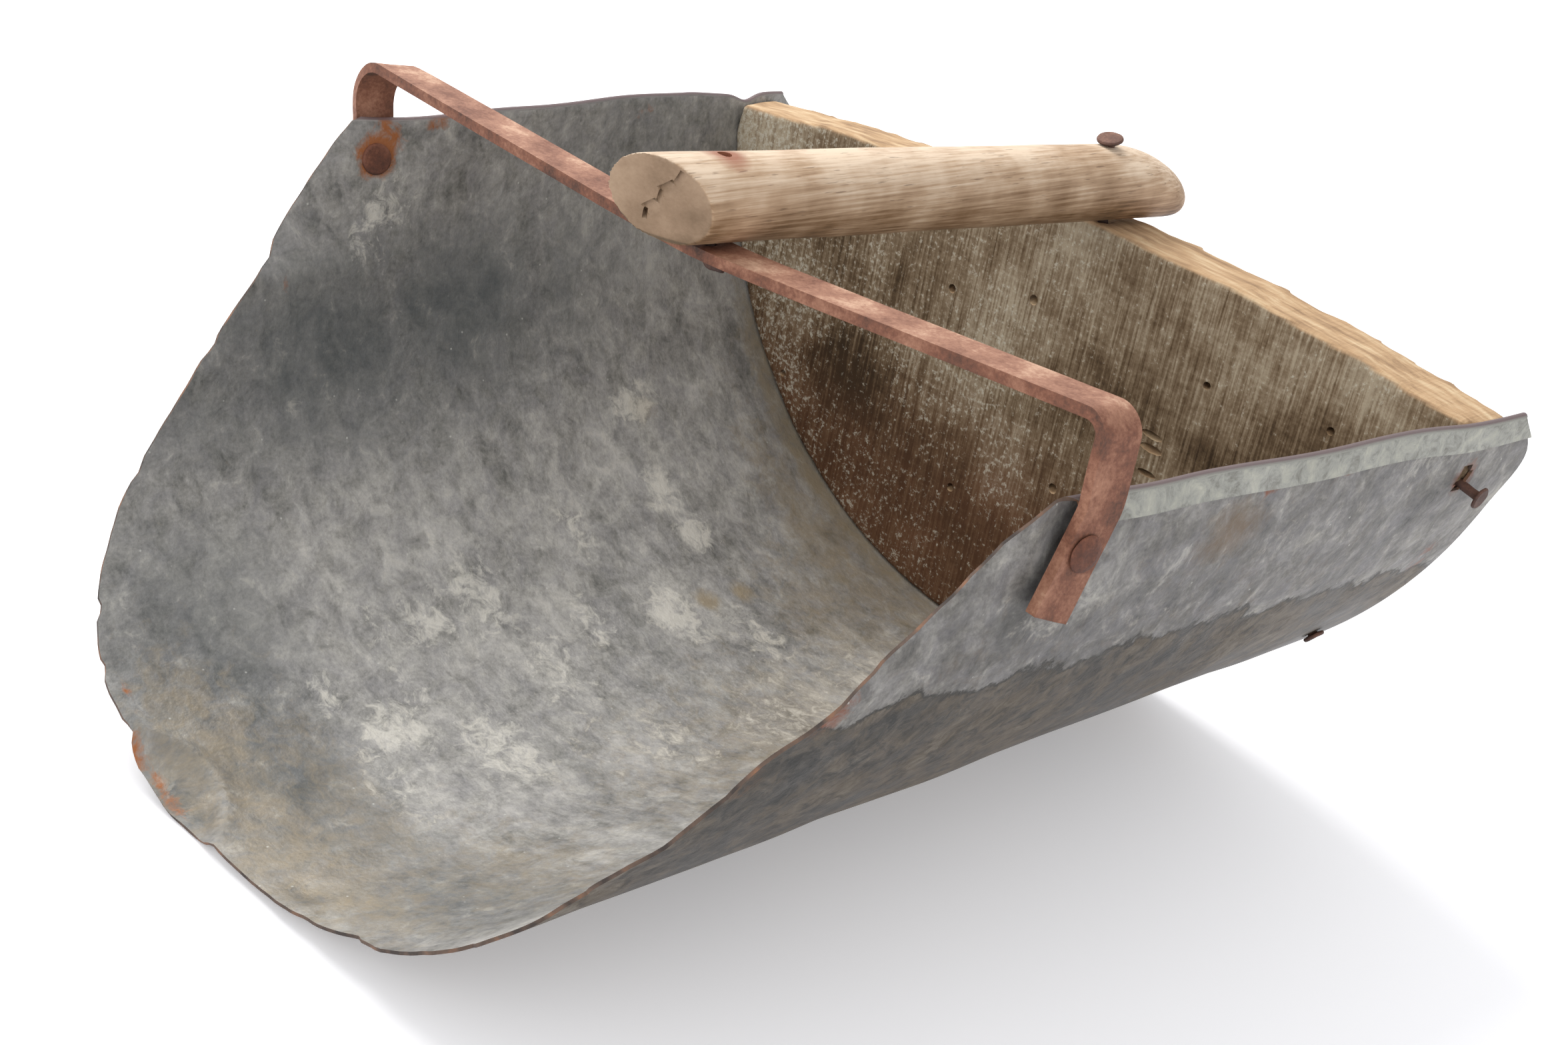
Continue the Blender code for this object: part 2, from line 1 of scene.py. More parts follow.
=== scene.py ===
"""Looks of an old feed scoop: a bent galvanised trough, a sawn board, a worn handle and rusty iron.

Metres, +Z up, +Y towards the back board, the scoop's own frame.
"""

import math

import bpy
import numpy as np
from mathutils import Matrix, Vector, noise


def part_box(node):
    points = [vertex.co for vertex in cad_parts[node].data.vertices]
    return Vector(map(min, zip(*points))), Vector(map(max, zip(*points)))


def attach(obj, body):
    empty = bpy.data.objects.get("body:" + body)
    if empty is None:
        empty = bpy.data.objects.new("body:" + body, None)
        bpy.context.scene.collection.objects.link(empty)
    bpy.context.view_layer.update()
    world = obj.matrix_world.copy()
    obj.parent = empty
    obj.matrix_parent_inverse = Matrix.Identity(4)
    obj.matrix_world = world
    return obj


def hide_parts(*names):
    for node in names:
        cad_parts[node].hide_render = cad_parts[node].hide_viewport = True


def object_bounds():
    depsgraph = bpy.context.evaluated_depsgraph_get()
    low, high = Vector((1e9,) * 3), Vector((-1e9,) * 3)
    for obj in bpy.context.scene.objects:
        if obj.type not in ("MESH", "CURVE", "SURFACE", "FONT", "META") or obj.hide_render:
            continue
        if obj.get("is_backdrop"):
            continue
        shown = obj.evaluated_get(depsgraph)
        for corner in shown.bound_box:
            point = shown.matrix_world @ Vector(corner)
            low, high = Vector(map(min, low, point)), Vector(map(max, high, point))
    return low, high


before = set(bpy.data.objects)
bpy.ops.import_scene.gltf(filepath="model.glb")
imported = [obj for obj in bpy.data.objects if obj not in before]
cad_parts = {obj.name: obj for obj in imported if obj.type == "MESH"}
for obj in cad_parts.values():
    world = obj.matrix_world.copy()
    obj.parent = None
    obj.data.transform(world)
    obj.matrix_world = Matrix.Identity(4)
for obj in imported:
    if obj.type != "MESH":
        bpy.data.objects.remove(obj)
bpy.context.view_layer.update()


# ================================================================ the studio
# A sheet of white paper lit faintly from below, in a white room, with one broad soft lamp high on
# the scoop's left and a weak one in front. The camera looks down from the front right and leans over
# a little.
LENS = 49.0
CAMERA_PLACE = Vector((0.3965, -0.4349, 0.3648))
CAMERA_TURN = 0.71475       # round the scoop
CAMERA_TILT = 0.45723       # above the floor
CAMERA_ROLL = 0.19856


def linear(code):
    """An sRGB hex colour as the linear colour that a socket takes."""
    parts = [int(code[i:i + 2], 16) / 255 for i in (1, 3, 5)]
    return (*[p / 12.92 if p <= 0.04045 else ((p + 0.055) / 1.055) ** 2.4 for p in parts], 1.0)


def add_node(material, kind, links=None, stops=None, **settings):
    """A shader node with its settings, a ramp's (place, colour) stops, and its sockets filled."""
    made = material.node_tree.nodes.new("ShaderNode" + kind)
    for name, value in settings.items():
        setattr(made, name, value)
    if stops:
        elements = made.color_ramp.elements
        while len(elements) < len(stops):
            elements.new(0.5)
        for element, (place, colour) in zip(elements, stops):
            element.position = place
            element.color = linear(colour)
    for socket, value in (links or {}).items():
        if isinstance(value, bpy.types.NodeSocket):
            material.node_tree.links.new(value, made.inputs[socket])
        else:
            made.inputs[socket].default_value = value
    return made


def new_material(name):
    made = bpy.data.materials.new(name)
    made.use_nodes = True
    return made, made.node_tree.nodes["Principled BSDF"]


back = Vector((
    math.sin(CAMERA_TURN) * math.cos(CAMERA_TILT),
    -math.cos(CAMERA_TURN) * math.cos(CAMERA_TILT),
    math.sin(CAMERA_TILT),
))
level = Vector((math.cos(CAMERA_TURN), math.sin(CAMERA_TURN), 0.0))
over = back.cross(level)
right = level * math.cos(CAMERA_ROLL) + over * math.sin(CAMERA_ROLL)
up = over * math.cos(CAMERA_ROLL) - level * math.sin(CAMERA_ROLL)
camera = bpy.data.objects.new("camera", bpy.data.cameras.new("camera"))
camera.data.lens = LENS
camera.data.sensor_width = 36.0
camera.data.clip_start = 0.01
turned = Matrix((right, up, back)).transposed().to_4x4()
camera.matrix_world = Matrix.Translation(CAMERA_PLACE) @ turned
bpy.context.scene.collection.objects.link(camera)
bpy.context.scene.camera = camera
bpy.context.scene.view_settings.view_transform = "Standard"

room = bpy.data.worlds.new("white_room")
room.use_nodes = True
room.node_tree.nodes["Background"].inputs["Color"].default_value = linear("#f6f8fb")
room.node_tree.nodes["Background"].inputs["Strength"].default_value = 0.92
bpy.context.scene.world = room

bpy.ops.mesh.primitive_plane_add(size=12.0, location=(0.0, 0.0, -0.0004))
floor = bpy.context.object
floor.name = "floor"
paper, shader = new_material("white_paper_sweep")
shader.inputs["Base Color"].default_value = linear("#f7f6f7")
shader.inputs["Roughness"].default_value = 0.9
shader.inputs["Specular IOR Level"].default_value = 0.1
shader.inputs["Emission Color"].default_value = linear("#fdfbfc")
shader.inputs["Emission Strength"].default_value = 0.24
floor.data.materials.append(paper)
floor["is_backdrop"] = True

for name, place, size, power in (
    ("broad_lamp", (-0.95, 0.12, 1.25), 1.1, 19.5),
    ("front_lamp", (0.4, -1.6, 1.0), 1.4, 6.0),
):
    lamp = bpy.data.lights.new(name, "AREA")
    lamp.size = size
    lamp.energy = power
    stand = bpy.data.objects.new(name, lamp)
    stand.location = place
    aim = Vector((0.0, 0.0, 0.08)) - stand.location
    stand.rotation_euler = aim.to_track_quat("-Z", "Y").to_euler()
    bpy.context.scene.collection.objects.link(stand)


# ================================================================ trough sheet
# One piece of 1 mm galvanised steel, rolled into a trough that widens to the back. Its round lip is
# hand cut and bent by use, and both side edges are folded outwards as flat hems.
MOUTH_Y = -0.04926          # the front corners' station, from which the trough's lengths run
MIDDLE_X = -0.00095
SHEET_THICKNESS = 0.0010
MOUTH_RADIUS = 0.1425
SOLE_WIDTH = 0.012
TROUGH_LENGTH = 0.212
FLARE = 0.62
LIP_REACH = 0.120
ARC = {"left": math.radians(85.3), "right": math.radians(93.6)}
WALL = {"left": 0.0224, "right": 0.0046}
WALL_FALL = {"left": 0.103, "right": 0.107}
CORNER_Y = {"left": 0.0010, "right": 0.0045}
CORNER_FLARE = {"left": 0.0075, "right": -0.0015}
CORNER_FLARE_REACH = 0.045
HEM_WIDTH = 0.0070
HEM_START = 0.0060
HEM_FOLD = 0.00075
SIGN = {"left": -1.0, "right": 1.0}
LIP_SHAPE = {    # share of the side's half width, share of LIP_REACH
    "left": (
        (0.0, 1.0), (0.2, 1.01), (0.36, 1.0), (0.54, 0.835), (0.70, 0.55), (0.85, 0.26), (1.0, 0.0),
    ),
    "right": (
        (0.0, 1.0), (0.18, 0.975), (0.36, 0.95), (0.54, 0.835), (0.70, 0.66), (0.85, 0.38), (1.0, 0.0),
    ),
}
BACK_EDGE = ((0.0, 0.0), (0.55, 0.001), (0.75, 0.003), (0.86, 0.004), (0.94, 0.0075), (1.0, -0.006))
BOARD_FRONT = 0.1795        # along the trough
TORN_HOLE = (0.2000, 0.1880)          # run and length of the hole torn round the loose nail
TORN_HALF = (0.0042, 0.0036)          # its half sizes along both
LIP_NICKS = (-0.196, -0.172, -0.139, -0.101, -0.083, -0.061, 0.052, 0.096, 0.131, 0.168, 0.200)
NICK_DEPTH = 0.0016
NICK_HALF = 0.0034
FLAP_RUN = -0.040           # middle of the lip's bent-down flap
FLAP_HALF = 0.026
FLAP_DEEP = 0.0145          # lip to crease
DIMPLES = ((-0.002, -0.094), (0.020, -0.109))
LOWEST = 0.0006             # middle of the sheet where it lies on the ground
SHEET_ROWS = 150
SHEET_COLUMNS = 100         # each side


def only(piece):
    """Make this the one selected and active object."""
    bpy.ops.object.select_all(action="DESELECT")
    piece.select_set(True)
    bpy.context.view_layer.objects.active = piece


def apply_modifier(piece, kind, **settings):
    only(piece)
    modifier = piece.modifiers.new(kind.lower(), kind)
    for name, value in settings.items():
        setattr(modifier, name, value)
    bpy.ops.object.modifier_apply(modifier=modifier.name)


def stand_for(piece, slot, *nodes):
    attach(piece, "root")
    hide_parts(*nodes)


def wander(x, y, z):
    """Smooth noise between about -1 and 1, one unit to a bump."""
    return noise.noise(Vector((x, y, z)))


def eased(value, low, high):
    """0 below low, 1 above high, smooth between them."""
    share = min(max((value - low) / (high - low), 0.0), 1.0)
    return share * share * (3 - 2 * share)


def smooth(table, at):
    """Cubic through (place, value) pairs, with the slopes of its neighbours."""
    places = np.array([p for p, _ in table])
    values = np.array([v for _, v in table])
    slopes = np.gradient(values, places)
    slopes[0] = 0.0
    i = min(int(np.searchsorted(places, at, side="right")) - 1, len(places) - 2)
    step = places[i + 1] - places[i]
    u = (at - places[i]) / step
    return float(
        values[i] * (1 + 2 * u) * (1 - u) ** 2
        + slopes[i] * step * u * (1 - u) ** 2
        + values[i + 1] * u * u * (3 - 2 * u)
        + slopes[i + 1] * step * u * u * (u - 1)
    )


def half_width(side, y):
    return MOUTH_RADIUS * ARC[side] + WALL[side] - WALL_FALL[side] * y


def trough_point(side, run, y, offset=0.0):
    """Middle of the sheet run metres round from the sole, or offset metres outside it."""
    sole_angle = SOLE_WIDTH / 2 / MOUTH_RADIUS
    angle = min(run / MOUTH_RADIUS, ARC[side])
    straight = max(run - MOUTH_RADIUS * ARC[side], 0.0)
    scale = 1.0 + FLARE * y
    x = (MOUTH_RADIUS * math.sin(angle) + straight * math.cos(angle)) * scale
    height = max(MOUTH_RADIUS * (math.cos(sole_angle) - math.cos(angle)), 0.0)
    z = (height + straight * math.sin(angle)) * scale
    along = max(0.0, 1 - (y - CORNER_Y[side]) / CORNER_FLARE_REACH)
    upward = max(0.0, 1 - (half_width(side, y) - run) / CORNER_FLARE_REACH)
    x += CORNER_FLARE[side] * along**2 * upward + math.sin(angle) * offset
    return Vector((SIGN[side] * x, y, z - math.cos(angle) * offset + SHEET_THICKNESS / 2))


def rim_drop(side, y):
    """The left side edge sinks and waves where it comes round the board's corner."""
    if side == "right":
        return 0.0006 * math.sin(y / 0.013) * eased(y, 0.02, 0.06)
    dip = 0.0022 * math.exp(-((y - 0.185) / 0.006) ** 2)
    return 0.0030 * eased(y, 0.150, 0.185) + dip + 0.0004 * math.sin(y / 0.011)


def bent_by_use(side, run, y, lip_y):
    """How far dents and waves push the sheet outwards at a place."""
    signed = SIGN[side] * run
    free = 1 - 0.85 * eased(y, BOARD_FRONT - 0.02, BOARD_FRONT)      # the board holds the rest flat
    push = 0.0009 * wander(signed / 0.055, y / 0.060, 3.1)
    push += 0.00035 * wander(signed / 0.019, y / 0.024, 7.7)
    push = push * free - 0.0006 * free
    from_lip = y - lip_y
    flap = FLAP_DEEP * (1 - ((signed - FLAP_RUN) / FLAP_HALF) ** 2)
    if from_lip < flap:
        push += 0.0062 * (1 - from_lip / flap) * min(1.0, flap / 0.010)
    if flap > 0.0:
        crease = math.exp(-((from_lip - flap) / 0.0024) ** 2)
        push -= 0.0015 * min(1.0, flap / 0.006) * crease
    loose = 0.0011 + 0.0016 * eased(signed, 0.12, 0.16)
    lip_wave = wander(signed / 0.021, 11.3, 0.0) * (1 - eased(from_lip, 0.0, 0.020))
    push += loose * lip_wave * eased(run, 0.03, 0.06)
    for at, station in DIMPLES:
        away = math.hypot((signed - at) / 0.0065, (y - station) / 0.0050)
        push += 0.0011 * math.exp(-away * away)
    push -= 0.0016 * eased(-y, 0.060, 0.095) * (1 - eased(run, 0.05, 0.09))     # the lip curls up
    return push


def lip_cut(signed):
    """The hand cut lip isn't quite fair, and it is nicked. It is roughest on the right."""
    rough = 0.45 + 0.4 * eased(signed, 0.0, 0.05) + 1.0 * eased(signed, 0.12, 0.16)
    cut = 0.0012 * rough * wander(signed / 0.016, 5.0, 0.0)
    cut += 0.0007 * rough * wander(signed / 0.0055, 9.0, 0.0)
    for nick in LIP_NICKS:
        cut += NICK_DEPTH * max(0.0, 1 - abs(signed - nick) / NICK_HALF)
    return cut + 0.0010


sole_share = SOLE_WIDTH / 2 / half_width("right", 0.0)
shares = [sole_share + (1 - sole_share) * i / SHEET_COLUMNS for i in range(SHEET_COLUMNS + 1)]
fold = math.pi * HEM_FOLD
pasts = [fold * (i + 1) / 6 for i in range(6)] + [fold + HEM_WIDTH * (i + 1) / 5 for i in range(5)]
columns = [("left", 1.0, past) for past in reversed(pasts)]
columns += [("left", share, 0.0) for share in reversed(shares)]
columns += [("right", share, 0.0) for share in shares]
columns += [("right", 1.0, past) for past in pasts]

bpy.ops.object.select_all(action="DESELECT")
bpy.ops.mesh.primitive_grid_add(x_subdivisions=len(columns) - 1, y_subdivisions=SHEET_ROWS, size=2.0)
sheet = bpy.context.object
sheet.name = "galvanised_trough"
blank = np.zeros((len(sheet.data.vertices), 3), np.float32)      # run, length, share of the hem
for vertex in sheet.data.vertices:
    side, share, past = columns[round((vertex.co.x + 1) / 2 * (len(columns) - 1))]
    row = (vertex.co.y + 1) / 2
    down = max(0.0, past - fold)
    lip_y = CORNER_Y[side] * share**4 - LIP_REACH * smooth(LIP_SHAPE[side], share)
    lip_y += lip_cut(share * half_width(side, 0.0) * SIGN[side])
    front_y = lip_y + HEM_START * min(1.0, past / fold) + down * 0.5
    back_y = TROUGH_LENGTH + smooth(BACK_EDGE, share - down / half_width(side, TROUGH_LENGTH))
    y = front_y + (back_y - front_y) * row
    width = half_width(side, y)
    run = share * width - rim_drop(side, y) * eased(share, 0.80, 1.0)
    push = bent_by_use(side, run, y, lip_y)
    if past == 0.0:
        place = trough_point(side, run, y, push)
    elif past >= fold:
        place = trough_point(side, run - down, y, push + 2 * HEM_FOLD)
    else:
        angle = min(run / MOUTH_RADIUS, ARC[side])
        outward = Vector((SIGN[side] * math.sin(angle), 0.0, -math.cos(angle)))
        upward = Vector((SIGN[side] * math.cos(angle), 0.0, math.sin(angle)))
        turn = past / HEM_FOLD
        edge = trough_point(side, run, y, push)
        across = outward * (HEM_FOLD * (1 - math.cos(turn)))
        place = edge + across + upward * (HEM_FOLD * math.sin(turn))
    blank[vertex.index] = (SIGN[side] * (run + past), y, eased(past, 0.0, fold))
    place.z = max(place.z, LOWEST)      # nothing hangs below the sole
    vertex.co = place + Vector((MIDDLE_X, MOUTH_Y, 0.0))

# Stains are laid out on the flat blank, in millimetres: run, length, half sizes along both, and last
# their strength. Bloom is white zinc crust. The dull and shade lists hold dull bare grey where the crust
# was rubbed off, and painted shade too: on the upper inner left wall, in the seam against the board, and
# on the outside round the strap's leg.
INSIDE_BLOOM = (
    (-120, 109, 8, 12, 0.85), (-88, 104, 12, 11, 0.75), (-69, 107, 10, 10, 0.80), (-74, 8, 22, 16, 0.68),
    (-67, -12, 14, 12, 0.68), (-34, -45, 14, 14, 0.75), (-36, 20, 24, 14, 0.66), (-43, 76, 16, 12, 0.80),
    (-52, 45, 16, 10, 0.62), (-12, -20, 24, 16, 0.66), (10, 30, 24, 16, 0.58), (-22, 100, 22, 16, 0.58),
    (-206, 14, 16, 14, 0.62), (-196, 4, 12, 10, 0.60), (-55, -60, 14, 10, 0.58), (20, 70, 26, 22, 0.58),
    (-60, -30, 30, 12, 0.50), (0, 0, 40, 60, 0.36), (-90, 40, 50, 60, 0.28), (30, 110, 50, 60, 0.56),
    (-10, -60, 30, 10, 0.55), (-85, 60, 14, 10, 0.62),
)
INSIDE_EARTH = (
    (-44, 93, 4, 4, 1.3), (-43, 109, 4, 4, 1.3), (-60, 176, 90, 6, 1.0), (20, 172, 70, 18, 0.85),
    (10, -104, 60, 22, 0.72), (-45, -104, 40, 20, 0.66), (-15, 138, 40, 26, 0.62), (50, -60, 40, 30, 0.5),
    (-120, 178, 30, 4, 0.9), (40, 90, 50, 90, 0.66), (-40, 160, 60, 14, 0.8),
    (-118, 112, 5, 6, 0.8), (-10, -75, 50, 14, 0.5),
)
INSIDE_RUST = (
    (-59, -120, 8, 3, 0.9), (-75, -116, 7, 2, 0.8), (-222.6, 9.7, 7.5, 7.5, 1.3), (-229, 17, 4, 3, 0.9),
    (-225, 17, 3, 6, 0.8), (-233, 13, 7, 3, 1.0), (-230, 33, 3, 6, 0.9), (-40, -118, 14, 2.5, 0.8),
    (194, -55, 12, 5, 1.5), (178, -72, 10, 4, 1.2), (-226, 70, 3, 10, 0.4), (-190, -28, 6, 3, 0.6),
    (-217, 128, 3, 9, 0.5), (22, -121, 18, 2.5, 0.8),
)
# Dull bare grey, with painted shade over the upper inner left wall and along the seam against the board.
INSIDE_DULL_AND_SHADE = (
    (-166, 5, 37, 105, 0.92), (-208, 130, 34, 66, 0.5), (-125, 20, 24, 50, 0.30),
    (-45, -94, 84, 32, 0.92), (50, -84, 50, 30, 0.72), (-95, -75, 40, 26, 0.60), (-36, -116, 16, 6, 1.1),
    (-2, -94, 9, 6, 1.1), (20, -109, 9, 6, 1.1), (-35, -114, 15, 6, 0.9), (-100, 178, 60, 8, 0.6),
    (-95, -95, 20, 14, 0.5), (-30, 60, 50, 7, 0.45), (5, -5, 40, 7, 0.40), (-70, -60, 40, 10, 0.40),
    (-75, -105, 12, 9, 0.5), (-20, -75, 40, 12, 0.50),
)
OUTSIDE_BLOOM = (
    (205, 20, 12, 22, 0.6), (190, 60, 8, 30, 0.5), (200, 120, 10, 26, 0.5), (-200, 90, 20, 50, 0.5),
    (212, 165, 7, 20, 0.6), (150, -20, 10, 14, 0.3), (-120, 60, 24, 40, 0.4),
)
OUTSIDE_EARTH = (
    (210, 78, 9, 12, 1.0), (0, 60, 150, 140, 0.75), (196, -8, 8, 14, 0.3), (214, 190, 6, 12, 0.5),
)
OUTSIDE_RUST = (
    (220, 91, 2.5, 6, 1.0), (218, 125, 2.5, 6, 1.0), (196, -55, 9, 8, 1.0), (180, -71, 8, 6, 0.9),
    (200, 188, 7, 6, 1.0), (165, 200, 12, 6, 0.7), (110, 195, 14, 7, 0.8), (-200, 191, 9, 8, 0.9),
    (0, -119, 60, 4, 0.6), (226, 20, 4, 6, 0.6), (-226, 30, 5, 20, 0.5), (62, 192, 8, 7, 0.8),
)
# Dull bare grey, with painted shade round the strap's leg on the right.
OUTSIDE_DULL_AND_SHADE = (
    (206, 2, 12, 8, 0.9), (160, -60, 24, 24, 0.5), (228, 10, 6, 12, 0.5), (120, 0, 30, 60, 0.4),
)


def stain_and_shade_channels(lists):
    """Vertex colour from stain and painted shade lists, one list for each channel."""
    channels = np.zeros((len(blank), 4), np.float32)
    runs = blank[:, 0] * 1000
    lengths = blank[:, 1] * 1000
    for channel, patches in enumerate(lists):
        for run, length, half_run, half_length, strength in patches:
            away = ((runs - run) / half_run) ** 2 + ((lengths - length) / half_length) ** 2
            patch = strength * np.exp(-0.65 * away**1.3)
            channels[:, channel] = np.maximum(channels[:, channel], patch)
    return channels


sheet.data.attributes.new("blank", "FLOAT_VECTOR", "POINT").data.foreach_set("vector", blank.ravel())
for name, lists in (
    ("inside_stain_and_shade", (INSIDE_BLOOM, INSIDE_EARTH, INSIDE_RUST, INSIDE_DULL_AND_SHADE)),
    ("outside_stain_and_shade", (OUTSIDE_BLOOM, OUTSIDE_EARTH, OUTSIDE_RUST, OUTSIDE_DULL_AND_SHADE)),
):
    painted = sheet.data.attributes.new(name, "FLOAT_COLOR", "POINT")
    painted.data.foreach_set("color", stain_and_shade_channels(lists).ravel())

only(sheet)
bpy.ops.object.mode_set(mode="EDIT")
bpy.ops.mesh.select_all(action="DESELECT")
bpy.ops.object.mode_set(mode="OBJECT")
for face in sheet.data.polygons:
    centre = blank[list(face.vertices)].mean(0)
    off = [(centre[i] - TORN_HOLE[i]) / TORN_HALF[i] for i in range(2)]
    face.select = bool(math.hypot(*off) < 1.0)
bpy.ops.object.mode_set(mode="EDIT")
bpy.ops.mesh.delete(type="FACE")
bpy.ops.object.mode_set(mode="OBJECT")


def zinc(name, stain_and_shade_name, dark, middle, light, bloom, earth, rust, dull_and_shade_colour, seed):
    """Hot dipped zinc, dulled to a patchy grey patina: faint streaks round the roll, ragged pale crust
    where it has been wet, earth where feed has rubbed it, and rust where the coat is gone."""
    made, surface = new_material(name)
    flat = add_node(made, "Attribute", attribute_name="blank").outputs["Vector"]
    stain_and_shade = add_node(made, "Attribute", attribute_name=stain_and_shade_name)
    channels = add_node(made, "SeparateColor", {"Color": stain_and_shade.outputs["Color"]})
    shift = add_node(made, "VectorMath", {0: flat, 1: (seed, seed, seed)}, operation="ADD").outputs[0]
    cloud = add_node(
        made, "TexNoise",
        {"Vector": shift, "Scale": 1 / 0.036, "Detail": 9.0, "Roughness": 0.66, "Distortion": 0.4},
    )
    mottle = add_node(
        made, "TexNoise",
        {"Vector": shift, "Scale": 1 / 0.0085, "Detail": 7.0, "Roughness": 0.68, "Distortion": 0.5},
    )
    stretched = add_node(made, "Mapping", {"Vector": shift, "Scale": (1 / 0.014, 1 / 0.0034, 1.0)})
    streak = add_node(made, "TexNoise", {"Vector": stretched.outputs[0], "Scale": 1.0, "Detail": 5.0})
    tone = add_node(
        made, "Math",
        {0: cloud.outputs["Fac"], 1: 0.9, 2: mottle.outputs["Fac"]}, operation="MULTIPLY_ADD",
    )
    tone = add_node(
        made, "Math",
        {0: streak.outputs["Fac"], 1: 0.25, 2: tone.outputs[0]}, operation="MULTIPLY_ADD",
    )
    grain = add_node(
        made, "TexNoise", {"Vector": shift, "Scale": 1 / 0.0014, "Detail": 3.0, "Roughness": 0.7}
    )
    tone = add_node(
        made, "Math", {0: grain.outputs["Fac"], 1: 0.40, 2: tone.outputs[0]}, operation="MULTIPLY_ADD"
    )
    scaled = add_node(made, "MapRange", {"Value": tone.outputs[0], 1: 0.90, 2: 1.65})
    base = add_node(
        made, "ValToRGB", {"Fac": scaled.outputs[0]},
        stops=((0.12, dark), (0.48, middle), (0.86, light)),
    )
    hue = add_node(
        made, "MapRange", {"Value": mottle.outputs["Color"], 1: 0.42, 2: 0.62, 3: 0.0, 4: 0.28}
    )
    colour = add_node(
        made, "MixRGB",
        {"Fac": hue.outputs[0], "Color1": base.outputs[0], "Color2": linear("#85838a")},
    )
    # The last channel darkens towards a grey: dull bare zinc in places, painted shade in others (the
    # upper inner left wall, the seam against the board, round the strap's leg outside).
    dull_and_shade_share = add_node(
        made, "Math", {0: stain_and_shade.outputs["Alpha"], 1: cloud.outputs["Fac"]}, operation="MULTIPLY"
    )
    dull_and_shade_share = add_node(
        made, "MapRange", {"Value": dull_and_shade_share.outputs[0], 1: 0.12, 2: 0.62, 3: 0.0, 4: 0.9}
    )
    colour = add_node(
        made, "MixRGB",
        {"Fac": dull_and_shade_share.outputs[0], "Color1": colour.outputs[0], "Color2": linear(dull_and_shade_colour)},
    )
    grit = add_node(
        made, "TexNoise",
        {"Vector": shift, "Scale": 1 / 0.0060, "Detail": 9.0, "Roughness": 0.72, "Distortion": 0.7},
    )
    for channel, paint, low, high, most in (
        (1, earth, 0.62, 1.08, 0.80), (0, bloom, 0.77, 0.92, 0.62), (2, rust, 0.78, 1.02, 0.92),
    ):
        drawn = add_node(
            made, "Math",
            {0: channels.outputs[channel], 1: 0.52, 2: grit.outputs["Fac"]}, operation="MULTIPLY_ADD",
        )
        mask = add_node(
            made, "MapRange", {"Value": drawn.outputs[0], 1: low, 2: high, 3: 0.0, 4: most}
        )
        colour = add_node(
            made, "MixRGB",
            {"Fac": mask.outputs[0], "Color1": colour.outputs[0], "Color2": linear(paint)},
        )
    crust = add_node(
        made, "MapRange", {"Value": mottle.outputs["Fac"], 1: 0.60, 2: 0.70, 3: 0.0, 4: 0.34}
    )
    colour = add_node(
        made, "MixRGB",
        {"Fac": crust.outputs[0], "Color1": colour.outputs[0], "Color2": linear("#bab5a8")},
    )
    dots = add_node(made, "TexVoronoi", {"Vector": shift, "Scale": 1 / 0.0075, "Randomness": 1.0})
    dot_mask = add_node(
        made, "MapRange", {"Value": dots.outputs["Distance"], 1: 0.060, 2: 0.025, 3: 0.0, 4: 0.55}
    )
    colour = add_node(
        made, "MixRGB",
        {"Fac": dot_mask.outputs[0], "Color1": colour.outputs[0], "Color2": linear("#cfcec6")},
    )
    return made, surface, flat, shift, colour, cloud, grit


def finish_zinc(made, surface, colour, cloud, grit, shift, metallic):
    """Colour, patchy gloss and a fine crusty grain."""
    made.node_tree.links.new(colour.outputs[0], surface.inputs["Base Color"])
    surface.inputs["Metallic"].default_value = metallic
    gloss = add_node(
        made, "MapRange", {"Value": cloud.outputs["Fac"], 1: 0.3, 2: 0.7, 3: 0.42, 4: 0.66}
    )
    made.node_tree.links.new(gloss.outputs[0], surface.inputs["Roughness"])
    fine = add_node(made, "TexNoise", {"Vector": shift, "Scale": 1 / 0.0016, "Detail": 3.0})
    rise = add_node(
        made, "Math",
        {0: grit.outputs["Fac"], 1: 0.6, 2: fine.outputs["Fac"]}, operation="MULTIPLY_ADD",
    )
    bump = add_node(made, "Bump", {"Height": rise.outputs[0], "Strength": 0.30, "Distance": 0.0008})
    made.node_tree.links.new(bump.outputs[0], surface.inputs["Normal"])


inside, surface, flat, shift, colour, cloud, grit = zinc(
    "galvanised_steel_inside", "inside_stain_and_shade",
    "#65645f", "#999690", "#c2beb6", "#dbd6ca", "#9b8b70", "#9a5824", "#3a4042", 1.7,
)
# The hem's outer face is the sheet's inner face folded over: pale zinc with a rusty fold.
hem = add_node(inside, "SeparateXYZ", {0: flat}).outputs[2]
band = add_node(
    inside, "ValToRGB", {"Fac": grit.outputs["Fac"]},
    stops=((0.32, "#67645b"), (0.48, "#92928a"), (0.68, "#adab9d")),
)
band_mask = add_node(inside, "MapRange", {"Value": hem, 1: 0.55, 2: 1.0})
colour = add_node(
    inside, "MixRGB",
    {"Fac": band_mask.outputs[0], "Color1": colour.outputs[0], "Color2": band.outputs[0]},
)
fold_tone = add_node(
    inside, "ValToRGB", {"Fac": hem},
    stops=((0.0, "#000000"), (0.12, "#ffffff"), (0.80, "#ffffff"), (0.97, "#000000")),
)
fold_mask = add_node(inside, "Math", {0: fold_tone.outputs[0], 1: 0.85}, operation="MULTIPLY")
colour = add_node(
    inside, "MixRGB",
    {"Fac": fold_mask.outputs[0], "Color1": colour.outputs[0], "Color2": linear("#6f5a5a")},
)
finish_zinc(inside, surface, colour, cloud, grit, shift, 0.25)

outside, surface, flat, shift, colour, cloud, grit = zinc(
    "galvanised_steel_outside", "outside_stain_and_shade",
    "#3f3e3c", "#686560", "#95928b", "#b5b2a9", "#66523a", "#7a4326", "#363634", 5.3,
)
